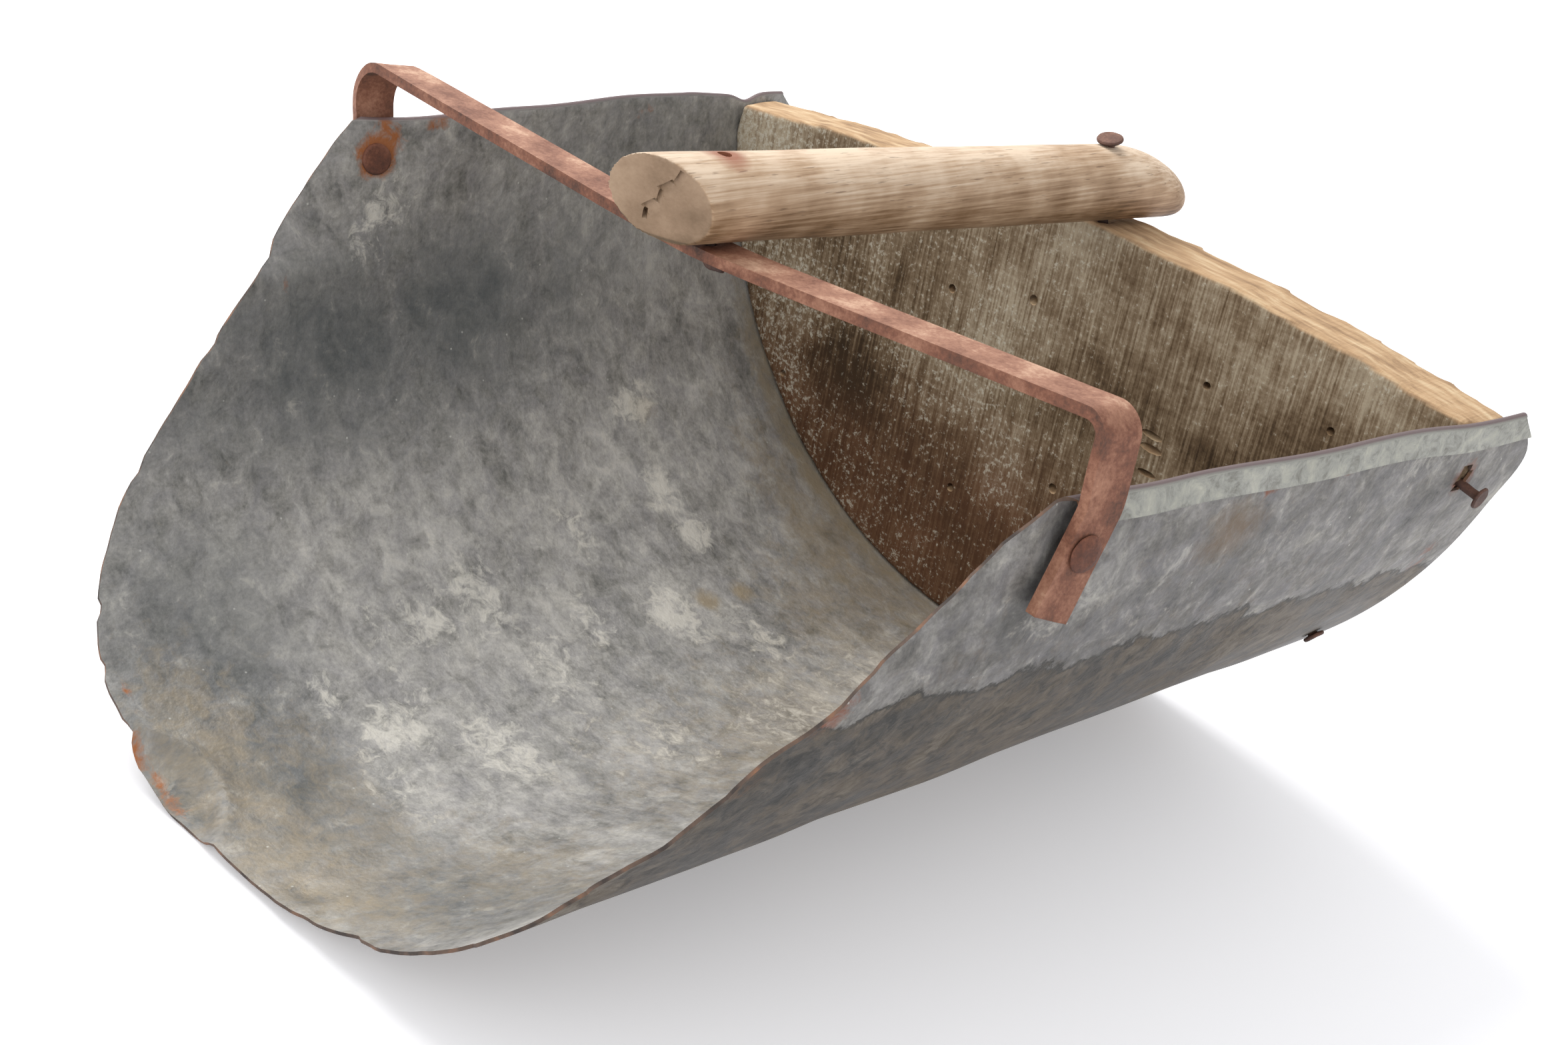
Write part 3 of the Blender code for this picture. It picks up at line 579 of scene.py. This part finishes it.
# The ground's dirt reaches up to a ragged line that rises towards the front, cracked along its edge.
blank_axes = add_node(outside, "SeparateXYZ", {0: flat})
run_size = add_node(outside, "Math", {0: blank_axes.outputs[0]}, operation="ABSOLUTE")
ragged = add_node(
    outside, "TexNoise", {"Vector": shift, "Scale": 1 / 0.030, "Detail": 9.0, "Roughness": 0.68}
)
line = add_node(
    outside, "Math",
    {0: blank_axes.outputs[1], 1: 0.117, 2: run_size.outputs[0]}, operation="MULTIPLY_ADD",
)
line = add_node(
    outside, "Math",
    {0: ragged.outputs["Fac"], 1: 0.034, 2: line.outputs[0]}, operation="MULTIPLY_ADD",
)
low_dirt = add_node(outside, "MapRange", {"Value": line.outputs[0], 1: 0.2035, 2: 0.2025})
dirt_tone = add_node(
    outside, "MixRGB", {"Fac": 0.5, "Color1": cloud.outputs["Fac"], "Color2": grit.outputs["Fac"]}
)
dirt = add_node(
    outside, "ValToRGB", {"Fac": dirt_tone.outputs[0]},
    stops=((0.38, "#1b1a16"), (0.46, "#332d24"), (0.53, "#4d402d"), (0.62, "#69604f")),
)
flake = add_node(
    outside, "MapRange", {"Value": grit.outputs["Fac"], 1: 0.38, 2: 0.58, 3: 0.98, 4: 0.72}
)
dirt_share = add_node(
    outside, "Math", {0: low_dirt.outputs[0], 1: flake.outputs[0]}, operation="MULTIPLY"
)
colour = add_node(
    outside, "MixRGB",
    {"Fac": dirt_share.outputs[0], "Color1": colour.outputs[0], "Color2": dirt.outputs[0]},
)
beside = add_node(outside, "Math", {0: line.outputs[0], 1: 0.203}, operation="SUBTRACT")
beside = add_node(outside, "Math", {0: beside.outputs[0]}, operation="ABSOLUTE")
crack = add_node(
    outside, "MapRange", {"Value": beside.outputs[0], 1: 0.0016, 2: 0.0004, 3: 0.0, 4: 0.9}
)
broken = add_node(outside, "MapRange", {"Value": grit.outputs["Fac"], 1: 0.42, 2: 0.52})
crack = add_node(outside, "Math", {0: crack.outputs[0], 1: broken.outputs[0]}, operation="MULTIPLY")
colour = add_node(
    outside, "MixRGB",
    {"Fac": crack.outputs[0], "Color1": colour.outputs[0], "Color2": linear("#26241f")},
)
finish_zinc(outside, surface, colour, cloud, grit, shift, 0.2)

# The cut edges are bare steel, so they have rusted all along.
edge_rust, surface = new_material("rusty_cut_edge")
coordinates = add_node(edge_rust, "TexCoord").outputs["Object"]
speckle = add_node(edge_rust, "TexNoise", {"Vector": coordinates, "Scale": 1 / 0.006, "Detail": 5.0})
ramp = add_node(
    edge_rust, "ValToRGB", {"Fac": speckle.outputs["Fac"]},
    stops=((0.36, "#39302b"), (0.54, "#5f4c40"), (0.72, "#855e45")),
)
edge_rust.node_tree.links.new(ramp.outputs[0], surface.inputs["Base Color"])
surface.inputs["Roughness"].default_value = 0.8

for material in (inside, outside, edge_rust):
    sheet.data.materials.append(material)
apply_modifier(
    sheet, "SOLIDIFY",
    thickness=SHEET_THICKNESS, offset=0.0, material_offset=1, material_offset_rim=2,
)
only(sheet)
bpy.ops.object.shade_smooth_by_angle(angle=math.radians(40))
stand_for(sheet, "weathered_galvanised_sheet", "trough_sheet")


# ================================================================ back board
# A rough sawn softwood board, sawn round to fill the trough, with a crowned top that hands and
# weather have worn. The nails of the trough go into its edge.
BOARD_VOXEL = 0.0013
BOARD_EDGE_WEAR = 0.0024
BOARD_CROWN_DEPTH = 0.019   # the worn part of the board, below its highest point
WORM_HOLES = (              # millimetres to the right of the middle, and up
    (-108.9, 53.9), (-38.6, 117.2), (-3.0, 127.2), (69.9, 126.5), (-18.8, 47.8), (23.2, 67.9),
    (116.2, 131.2),
)
SLOTS = ((55.4, 102.4), (56.8, 98.1), (57.2, 89.0))      # wider holes, where two run together
WORM_RADIUS = 0.0014
WORM_DEPTH = 0.012
board_low, board_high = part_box("back_board")


def bench_copy(node, name):
    """A copy of a CAD node with its loose triangles merged back into one skin of quads."""
    only(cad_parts[node])
    bpy.ops.object.duplicate()
    made = bpy.context.object
    made.name = name
    for key in list(made.keys()):
        del made[key]
    made.parent = None
    made.data.materials.clear()
    bpy.ops.object.mode_set(mode="EDIT")
    bpy.ops.mesh.select_all(action="SELECT")
    bpy.ops.mesh.remove_doubles(threshold=0.000005)
    bpy.ops.mesh.tris_convert_to_quads(
        face_threshold=math.radians(60), shape_threshold=math.radians(60)
    )
    bpy.ops.mesh.select_all(action="DESELECT")
    bpy.ops.object.mode_set(mode="OBJECT")
    return made


def cut_with(piece, tools):
    """Take each cutter out of a piece in turn, and the cutters' own material slots with them."""
    for tool in tools:
        apply_modifier(piece, "BOOLEAN", operation="DIFFERENCE", solver="MANIFOLD", object=tool)
        bpy.data.objects.remove(tool)
    piece.data.materials.clear()


board = bench_copy("back_board", "sawn_back_board")
crown_foot = board_high.z - BOARD_CROWN_DEPTH
for edge in board.data.edges:
    ends = [board.data.vertices[i].co for i in edge.vertices]
    on_front = all(abs(end.y - board_low.y) < 0.0002 for end in ends)
    on_back = all(abs(end.y - board_high.y) < 0.0002 for end in ends)
    edge.select = (on_front or on_back) and all(end.z > crown_foot for end in ends)
bpy.ops.object.mode_set(mode="EDIT")
bpy.ops.mesh.bevel(offset=BOARD_EDGE_WEAR, segments=3)
bpy.ops.object.mode_set(mode="OBJECT")
apply_modifier(board, "REMESH", mode="VOXEL", voxel_size=BOARD_VOXEL)
for vertex in board.data.vertices:
    x, y, z = vertex.co
    near_top = eased(z, crown_foot, board_high.z - 0.008)
    sawn = 0.0009 * wander(x / 0.020, y / 0.05, 2.0) + 0.0003 * wander(x / 0.006, y / 0.02, 4.0)
    vertex.co.z += (sawn - 0.0005) * near_top
    inner = eased(z, 0.012, 0.030)
    planed = 0.00030 * wander(x / 0.0035, 0.0, z / 0.09) + 0.0004 * wander(x / 0.04, 3.0, z / 0.03)
    if y < board_low.y + 0.003:
        vertex.co.y += (planed + 0.0003) * inner
    elif y > board_high.y - 0.003:
        vertex.co.y += (planed - 0.0003) * inner
tools = []
for i, (x, z) in enumerate(WORM_HOLES + SLOTS):
    place = (x / 1000 + MIDDLE_X, board_low.y + 0.002, z / 1000)
    bpy.ops.mesh.primitive_cylinder_add(
        vertices=10, radius=WORM_RADIUS + 0.0002 * (i % 3), depth=WORM_DEPTH, location=place,
        rotation=(math.radians(90 + 8 * (i % 3)), 0.0, 0.3 * (i % 2)),
    )
    if i >= len(WORM_HOLES):
        bpy.context.object.scale = (2.6, 0.8, 1.0)
        bpy.ops.object.transform_apply(location=False, rotation=False, scale=True)
    tools.append(bpy.context.object)
cut_with(board, tools)

# Old softwood, grey brown with weather: saw marks stand upright on the faces, the grain runs across,
# grey crust and meal cling to it, and the worn top is tan.
timber, surface = new_material("weathered_sawn_softwood")
place = add_node(timber, "TexCoord").outputs["Object"]
axes = add_node(timber, "SeparateXYZ", {0: place})
facing = add_node(timber, "SeparateXYZ", {0: add_node(timber, "NewGeometry").outputs["Normal"]})
cloud = add_node(
    timber, "TexNoise", {"Vector": place, "Scale": 1 / 0.040, "Detail": 6.0, "Roughness": 0.6}
)
saw_place = add_node(timber, "Mapping", {"Vector": place, "Scale": (1 / 0.0011, 1.0, 1 / 0.030)})
saw = add_node(
    timber, "TexNoise",
    {"Vector": saw_place.outputs[0], "Scale": 1.0, "Detail": 3.0, "Roughness": 0.6},
)
grain_place = add_node(
    timber, "Mapping", {"Vector": place, "Scale": (1 / 0.030, 1 / 0.004, 1 / 0.0020)}
)
grain = add_node(
    timber, "TexNoise",
    {"Vector": grain_place.outputs[0], "Scale": 1.0, "Detail": 5.0, "Roughness": 0.65},
)
crust = add_node(
    timber, "TexNoise", {"Vector": place, "Scale": 1 / 0.0016, "Detail": 4.0, "Roughness": 0.7}
)
lines = add_node(
    timber, "Math",
    {0: grain.outputs["Fac"], 1: 0.30, 2: saw.outputs["Fac"]}, operation="MULTIPLY_ADD",
)
tone = add_node(
    timber, "Math", {0: cloud.outputs["Fac"], 1: 1.5, 2: lines.outputs[0]}, operation="MULTIPLY_ADD"
)
tone = add_node(
    timber, "Math", {0: crust.outputs["Fac"], 1: 0.5, 2: tone.outputs[0]}, operation="MULTIPLY_ADD"
)
height = add_node(timber, "MapRange", {"Value": axes.outputs[2], 1: 0.03, 2: 0.14, 3: -0.20, 4: 0.16})
tone = add_node(timber, "Math", {0: tone.outputs[0], 1: height.outputs[0]}, operation="ADD")
scaled = add_node(timber, "MapRange", {"Value": tone.outputs[0], 1: 1.08, 2: 2.16})
face = add_node(
    timber, "ValToRGB", {"Fac": scaled.outputs[0]},
    stops=((0.20, "#382919"), (0.42, "#5f4c37"), (0.60, "#7f6c55"), (0.86, "#aa9b84")),
)
# The foot of the board is redder with damp, and the crust lies thicker towards the left.
low = add_node(timber, "MapRange", {"Value": axes.outputs[2], 1: 0.105, 2: 0.045, 3: 0.0, 4: 0.55})
ruddy = add_node(timber, "Math", {0: low.outputs[0], 1: cloud.outputs["Fac"]}, operation="MULTIPLY")
ruddy = add_node(timber, "MapRange", {"Value": ruddy.outputs[0], 1: 0.08, 2: 0.38, 3: 0.0, 4: 0.8})
face = add_node(
    timber, "MixRGB",
    {"Fac": ruddy.outputs[0], "Color1": face.outputs[0], "Color2": linear("#65402a")},
)
leftward = add_node(
    timber, "MapRange", {"Value": axes.outputs[0], 1: 0.06, 2: -0.14, 3: 0.0, 4: 0.09}
)
crust_tone = add_node(
    timber, "Math", {0: crust.outputs["Fac"], 1: leftward.outputs[0]}, operation="ADD"
)
crust_tone = add_node(
    timber, "Math",
    {0: cloud.outputs["Fac"], 1: 0.30, 2: crust_tone.outputs[0]}, operation="MULTIPLY_ADD",
)
crust_mask = add_node(
    timber, "MapRange", {"Value": crust_tone.outputs[0], 1: 0.76, 2: 0.86, 3: 0.0, 4: 0.65}
)
colour = add_node(
    timber, "MixRGB",
    {"Fac": crust_mask.outputs[0], "Color1": face.outputs[0], "Color2": linear("#c4bdac")},
)
# The worn top edge shows its clean grain.
worn = add_node(
    timber, "ValToRGB", {"Fac": grain.outputs["Fac"]},
    stops=((0.32, "#94775a"), (0.5, "#bb9a76"), (0.7, "#d6bd99")),
)
worn_mask = add_node(timber, "MapRange", {"Value": facing.outputs[2], 1: 0.30, 2: 0.75})
colour = add_node(
    timber, "MixRGB",
    {"Fac": worn_mask.outputs[0], "Color1": colour.outputs[0], "Color2": worn.outputs[0]},
)
timber.node_tree.links.new(colour.outputs[0], surface.inputs["Base Color"])
surface.inputs["Roughness"].default_value = 0.86
surface.inputs["Specular IOR Level"].default_value = 0.25
ridges = add_node(
    timber, "Math", {0: crust.outputs["Fac"], 1: 0.5, 2: lines.outputs[0]}, operation="MULTIPLY_ADD"
)
bump = add_node(timber, "Bump", {"Height": ridges.outputs[0], "Strength": 0.45, "Distance": 0.0008})
timber.node_tree.links.new(bump.outputs[0], surface.inputs["Normal"])
board.data.materials.append(timber)
only(board)
bpy.ops.object.shade_smooth_by_angle(angle=math.radians(50))
stand_for(board, "grey_sawn_board", "back_board")


# ================================================================ handle
# A turned hardwood dowel, polished by hands. Its front is sawn on a slant, chamfered below and
# cracked, and its back end is whittled round. It rests on the board and on the strap.
HANDLE_RADIUS = 0.0125
HANDLE_FRONT = 0.0125       # ahead of the front corners
HANDLE_NOSE = 0.0440
HANDLE_AXIS = (Vector((0.00855, MOUTH_Y, 0.1856)), Vector((0.01205, MOUTH_Y + 0.203, 0.1729)))
HANDLE_VOXEL = 0.0006
HANDLE_SPARE = 0.02         # sawn off in front
FRONT_SLANT = (-0.62, 1.0, 0.30)
CHAMFER_SLANT = (-0.62, 1.0, 1.30)
NOSE_CUTS = 16
CRACK = (                   # across and up from the handle's middle, on the slant
    (0.0062, 0.0092), (0.0040, 0.0050), (0.0006, 0.0022), (-0.0006, -0.0012), (-0.0036, -0.0040),
    (-0.0042, -0.0066),
)
CRACK_WIDTH = 0.0013
CRACK_DEPTH = 0.0040
NAIL_RADIUS = 0.0018        # the sunk front nail
handle_low, handle_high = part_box("handle")
slope = HANDLE_AXIS[1] - HANDLE_AXIS[0]


def handle_middle(y):
    """The handle's middle line, which falls to the back."""
    return HANDLE_AXIS[0] + slope * ((y - HANDLE_AXIS[0].y) / slope.y)


nose_y = handle_high.y - HANDLE_NOSE
length = handle_high.y - handle_low.y + HANDLE_SPARE
middle_y = (handle_high.y + handle_low.y - HANDLE_SPARE) / 2
bpy.ops.object.select_all(action="DESELECT")
bpy.ops.mesh.primitive_cylinder_add(
    vertices=64, radius=HANDLE_RADIUS, depth=length,
    location=(0.0, middle_y, 0.0), rotation=(math.radians(90), 0.0, 0.0),
)
handle = bpy.context.object
handle.name = "worn_handle"
bpy.ops.object.transform_apply()
bpy.ops.object.mode_set(mode="EDIT")
for i in range(NOSE_CUTS):
    ring_y = nose_y + HANDLE_NOSE * math.sin(math.pi / 2 * i / NOSE_CUTS)
    bpy.ops.mesh.select_all(action="SELECT")
    bpy.ops.mesh.bisect(plane_co=(0.0, ring_y, 0.0), plane_no=(0.0, 1.0, 0.0))
front_y = MOUTH_Y - HANDLE_FRONT
for plane_co, plane_no in (
    ((0.0, front_y, 0.0), FRONT_SLANT),
    ((0.0, front_y - 0.6 * HANDLE_RADIUS, 0.0), CHAMFER_SLANT),
):
    bpy.ops.mesh.select_all(action="SELECT")
    bpy.ops.mesh.bisect(plane_co=plane_co, plane_no=plane_no, use_fill=True, clear_inner=True)
bpy.ops.object.mode_set(mode="OBJECT")
for vertex in handle.data.vertices:
    dx, y, dz = vertex.co
    if y > nose_y + 0.0001:
        u = min((y - nose_y) / HANDLE_NOSE, 1.0)
        tall = max(math.sqrt(1 - u * u), 0.10)
        lift = max(0.0, u - 0.85) ** 2 * 8.0
        dx *= max((1 - u**5) ** 0.4, 0.25)
        high_share = (1 + dz / HANDLE_RADIUS) * (tall + (1 - tall) * 0.25) * (1 - lift)
        dz = HANDLE_RADIUS * (high_share - 1 + lift)
    vertex.co = handle_middle(y) + Vector((dx, 0.0, dz))
apply_modifier(
    handle, "BEVEL",
    width=0.0007, segments=2, limit_method="ANGLE", angle_limit=math.radians(35),
)
apply_modifier(handle, "REMESH", mode="VOXEL", voxel_size=HANDLE_VOXEL)
apply_modifier(handle, "SMOOTH", iterations=3, factor=0.5)
for vertex in handle.data.vertices:
    out = vertex.co - handle_middle(vertex.co.y)
    out.y = 0.0
    turn = math.atan2(out.z, out.x)
    whittled = 0.00022 * wander(turn * 1.4, vertex.co.y / 0.030, 6.0) - 0.00015
    vertex.co += out.normalized() * whittled

tools = []
for (x0, z0), (x1, z1) in zip(CRACK, CRACK[1:]):
    ends = []
    for dx, dz in ((x0, z0), (x1, z1)):
        y = front_y - FRONT_SLANT[0] * dx - FRONT_SLANT[2] * dz
        ends.append(handle_middle(y) + Vector((dx, 0.0, dz)))
    along = ends[1] - ends[0]
    bpy.ops.mesh.primitive_cube_add(size=1.0, location=(ends[0] + ends[1]) / 2)
    wedge = bpy.context.object
    wedge.scale = (CRACK_WIDTH, 2 * CRACK_DEPTH, along.length * 1.15)
    wedge.rotation_euler = along.to_track_quat("Z", "Y").to_euler()
    tools.append(wedge)
nail_low, nail_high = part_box("handle_nail_front")
nail_x = nail_low.x + NAIL_RADIUS
nail_y = (nail_low.y + nail_high.y) / 2
bpy.ops.mesh.primitive_cylinder_add(
    vertices=12, radius=NAIL_RADIUS + 0.0003, depth=0.004,
    location=(nail_x, nail_y, nail_high.z + 0.0015),
)
tools.append(bpy.context.object)
for tool in tools:
    only(tool)
    bpy.ops.object.transform_apply()
cut_with(handle, tools)

# Dry hardwood, hand polished: fine pores and dark flecks run along it, and it is grey on the sawn slant.
# Its tone is painted lighter on faces that point up and browner on faces that point down: a painted
# highlight on top and painted shade below.
dowel, surface = new_material("hand_worn_hardwood")
place = add_node(dowel, "TexCoord").outputs["Object"]
axes = add_node(dowel, "SeparateXYZ", {0: place})
facing = add_node(dowel, "SeparateXYZ", {0: add_node(dowel, "NewGeometry").outputs["Normal"]})
long_place = add_node(
    dowel, "Mapping", {"Vector": place, "Scale": (1 / 0.0009, 1 / 0.040, 1 / 0.0009)}
)
fibre = add_node(
    dowel, "TexNoise",
    {"Vector": long_place.outputs[0], "Scale": 1.0, "Detail": 5.0, "Roughness": 0.6},
)
pore_place = add_node(
    dowel, "Mapping", {"Vector": place, "Scale": (1 / 0.0006, 1 / 0.009, 1 / 0.0006)}
)
pore = add_node(dowel, "TexNoise", {"Vector": pore_place.outputs[0], "Scale": 1.0, "Detail": 2.0})
cloud = add_node(dowel, "TexNoise", {"Vector": place, "Scale": 1 / 0.022, "Detail": 4.0})
tone = add_node(
    dowel, "Math",
    {0: fibre.outputs["Fac"], 1: 1.0, 2: cloud.outputs["Fac"]}, operation="MULTIPLY_ADD",
)
# Painted light: the tone rises with how far the surface faces up, lighter on top and darker below.
painted_light_tone = add_node(
    dowel, "Math", {0: facing.outputs[2], 1: 0.27, 2: tone.outputs[0]}, operation="MULTIPLY_ADD"
)
scaled = add_node(dowel, "MapRange", {"Value": painted_light_tone.outputs[0], 1: 0.36, 2: 1.56})
wood = add_node(
    dowel, "ValToRGB", {"Fac": scaled.outputs[0]},
    stops=((0.14, "#4d3823"), (0.34, "#87684a"), (0.60, "#b99b7d"), (0.86, "#dfc8ae")),
)
pore_mask = add_node(
    dowel, "MapRange", {"Value": pore.outputs["Fac"], 1: 0.36, 2: 0.28, 3: 0.0, 4: 0.55}
)
colour = add_node(
    dowel, "MixRGB",
    {"Fac": pore_mask.outputs[0], "Color1": wood.outputs[0], "Color2": linear("#5d4634")},
)
sawn_mask = add_node(
    dowel, "MapRange", {"Value": facing.outputs[1], 1: -0.45, 2: -0.75, 3: 0.0, 4: 0.85}
)
end_grain = add_node(
    dowel, "ValToRGB",
    {"Fac": cloud.outputs["Fac"]}, stops=((0.35, "#6f5b46"), (0.5, "#8f7760"), (0.65, "#ab9279")),
)
colour = add_node(
    dowel, "MixRGB",
    {"Fac": sawn_mask.outputs[0], "Color1": colour.outputs[0], "Color2": end_grain.outputs[0]},
)
chamfer_mask = add_node(dowel, "MapRange", {"Value": facing.outputs[2], 1: -0.45, 2: -0.62})
chamfer_mask = add_node(
    dowel, "Math", {0: chamfer_mask.outputs[0], 1: sawn_mask.outputs[0]}, operation="MULTIPLY"
)
colour = add_node(
    dowel, "MixRGB",
    {"Fac": chamfer_mask.outputs[0], "Color1": colour.outputs[0], "Color2": linear("#4b4335")},
)
# Rust has bled from the sunk nail, and the strap has left its mark where it bears.
for spot, size, hue, most in (
    ((nail_x, nail_y, 0.198), 0.0085, "#94553c", 0.85),
    ((0.0125, 0.1640, 0.170), 0.0110, "#7d6660", 0.8),
):
    ragged = add_node(
        dowel, "VectorMath",
        {0: cloud.outputs["Color"], 1: (0.008, 0.008, 0.008), 2: place}, operation="MULTIPLY_ADD",
    )
    away = add_node(
        dowel, "VectorMath",
        {0: ragged.outputs[0], 1: [value + 0.004 for value in spot]}, operation="DISTANCE",
    )
    mask = add_node(
        dowel, "MapRange", {"Value": away.outputs["Value"], 1: size, 2: size * 0.4, 3: 0.0, 4: most}
    )
    colour = add_node(
        dowel, "MixRGB", {"Fac": mask.outputs[0], "Color1": colour.outputs[0], "Color2": linear(hue)}
    )
dowel.node_tree.links.new(colour.outputs[0], surface.inputs["Base Color"])
surface.inputs["Roughness"].default_value = 0.62
surface.inputs["Specular IOR Level"].default_value = 0.35
bump = add_node(dowel, "Bump", {"Height": fibre.outputs["Fac"], "Strength": 0.25, "Distance": 0.0006})
dowel.node_tree.links.new(bump.outputs[0], surface.inputs["Normal"])
handle.data.materials.append(dowel)
only(handle)
bpy.ops.object.shade_smooth_by_angle(angle=math.radians(50))
stand_for(handle, "worn_handle_wood", "handle")


# ================================================================ bail strap
# Half inch flat iron, bent cold over the side edges and sagging to the handle. Dry pinkish rust all
# over, painted paler on top as a painted highlight. The edges are worn and the faces beaten.
def rusty_iron(name, deep, middle, light, pale, grain_size):
    """Wrought bar under old dry rust: matt, mottled, with fine pits, and painted paler on upward faces as
    a painted highlight.
    """
    made, surface = new_material(name)
    place = add_node(made, "TexCoord").outputs["Object"]
    facing = add_node(made, "SeparateXYZ", {0: add_node(made, "NewGeometry").outputs["Normal"]})
    cloud = add_node(
        made, "TexNoise", {"Vector": place, "Scale": 1 / 0.016, "Detail": 6.0, "Roughness": 0.62}
    )
    pits = add_node(
        made, "TexNoise", {"Vector": place, "Scale": 1 / grain_size, "Detail": 4.0, "Roughness": 0.7}
    )
    tone = add_node(
        made, "Math",
        {0: pits.outputs["Fac"], 1: 0.4, 2: cloud.outputs["Fac"]}, operation="MULTIPLY_ADD",
    )
    # Painted highlight: faces that point up are painted paler.
    painted_light_tone = add_node(
        made, "Math", {0: facing.outputs[2], 1: 0.15, 2: tone.outputs[0]}, operation="MULTIPLY_ADD"
    )
    scaled = add_node(made, "MapRange", {"Value": painted_light_tone.outputs[0], 1: 0.42, 2: 1.05})
    ramp = add_node(
        made, "ValToRGB", {"Fac": scaled.outputs[0]},
        stops=((0.10, deep), (0.42, middle), (0.72, light), (0.97, pale)),
    )
    made.node_tree.links.new(ramp.outputs[0], surface.inputs["Base Color"])
    surface.inputs["Roughness"].default_value = 0.72
    surface.inputs["Metallic"].default_value = 0.08
    bump = add_node(
        made, "Bump", {"Height": pits.outputs["Fac"], "Strength": 0.35, "Distance": 0.0005}
    )
    made.node_tree.links.new(bump.outputs[0], surface.inputs["Normal"])
    return made


def forged(node, name, slot, material, edge_wear, segments, dents):
    """A copy of a CAD node with worn edges and (size, depth) dents, standing for that node."""
    made = bench_copy(node, name)
    apply_modifier(
        made, "BEVEL",
        width=edge_wear, segments=segments, limit_method="ANGLE", angle_limit=math.radians(40),
    )
    apply_modifier(made, "SUBSURF", levels=2, render_levels=2)
    for vertex in made.data.vertices:
        shifts = [noise.noise_vector(vertex.co / size) * depth for size, depth in dents]
        vertex.co += sum(shifts, Vector())
    made.data.materials.append(material)
    only(made)
    bpy.ops.object.shade_smooth_by_angle(angle=math.radians(60))
    stand_for(made, slot, node)


# The dents' noise would start from the clock, and differ each run, if it had no seed.
DENT_SEED = 1
noise.seed_set(DENT_SEED)
strap_iron = rusty_iron("dry_rusted_bar", "#3f2a20", "#794c38", "#a2745c", "#c9a287", 0.0012)
strap_dents = ((0.012, 0.00012), (0.0035, 0.00005))
forged("bail_strap", "iron_bail_strap", "rusty_strap_iron", strap_iron, 0.0005, 2, strap_dents)


# ================================================================ rivets
# Soft iron rivets through the sheet and the strap's feet, hammered flat on both sides and browned
# with the same rust as the strap.
rivet_iron = rusty_iron("hammered_rivet_iron", "#38231b", "#633a29", "#86543e", "#a2735a", 0.0009)
for side in ("left", "right"):
    forged(
        f"rivet_{side}", f"hammered_rivet_{side}", "rusty_fixings", rivet_iron, 0.00025, 2,
        ((0.003, 0.00012),),
    )


# ================================================================ nails
# Cut steel nails: six through the trough into the board, one with a broad head that holds the
# handle down, and one sunk in the handle's front and turned over under the strap.
nail_iron = rusty_iron("rusty_nail_steel", "#2f211d", "#4e362d", "#6b4a3c", "#8d6653", 0.0008)
nails = [f"rim_nail_{number}" for number in range(1, 7)] + ["handle_nail_back", "handle_nail_front"]
for name in nails:
    forged(name, f"old_{name}", "rusty_fixings", nail_iron, 0.0002, 1, ((0.0025, 0.00015),))


# ================================================================ sizes
# The detailed pieces' box, in metres.
low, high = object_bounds()
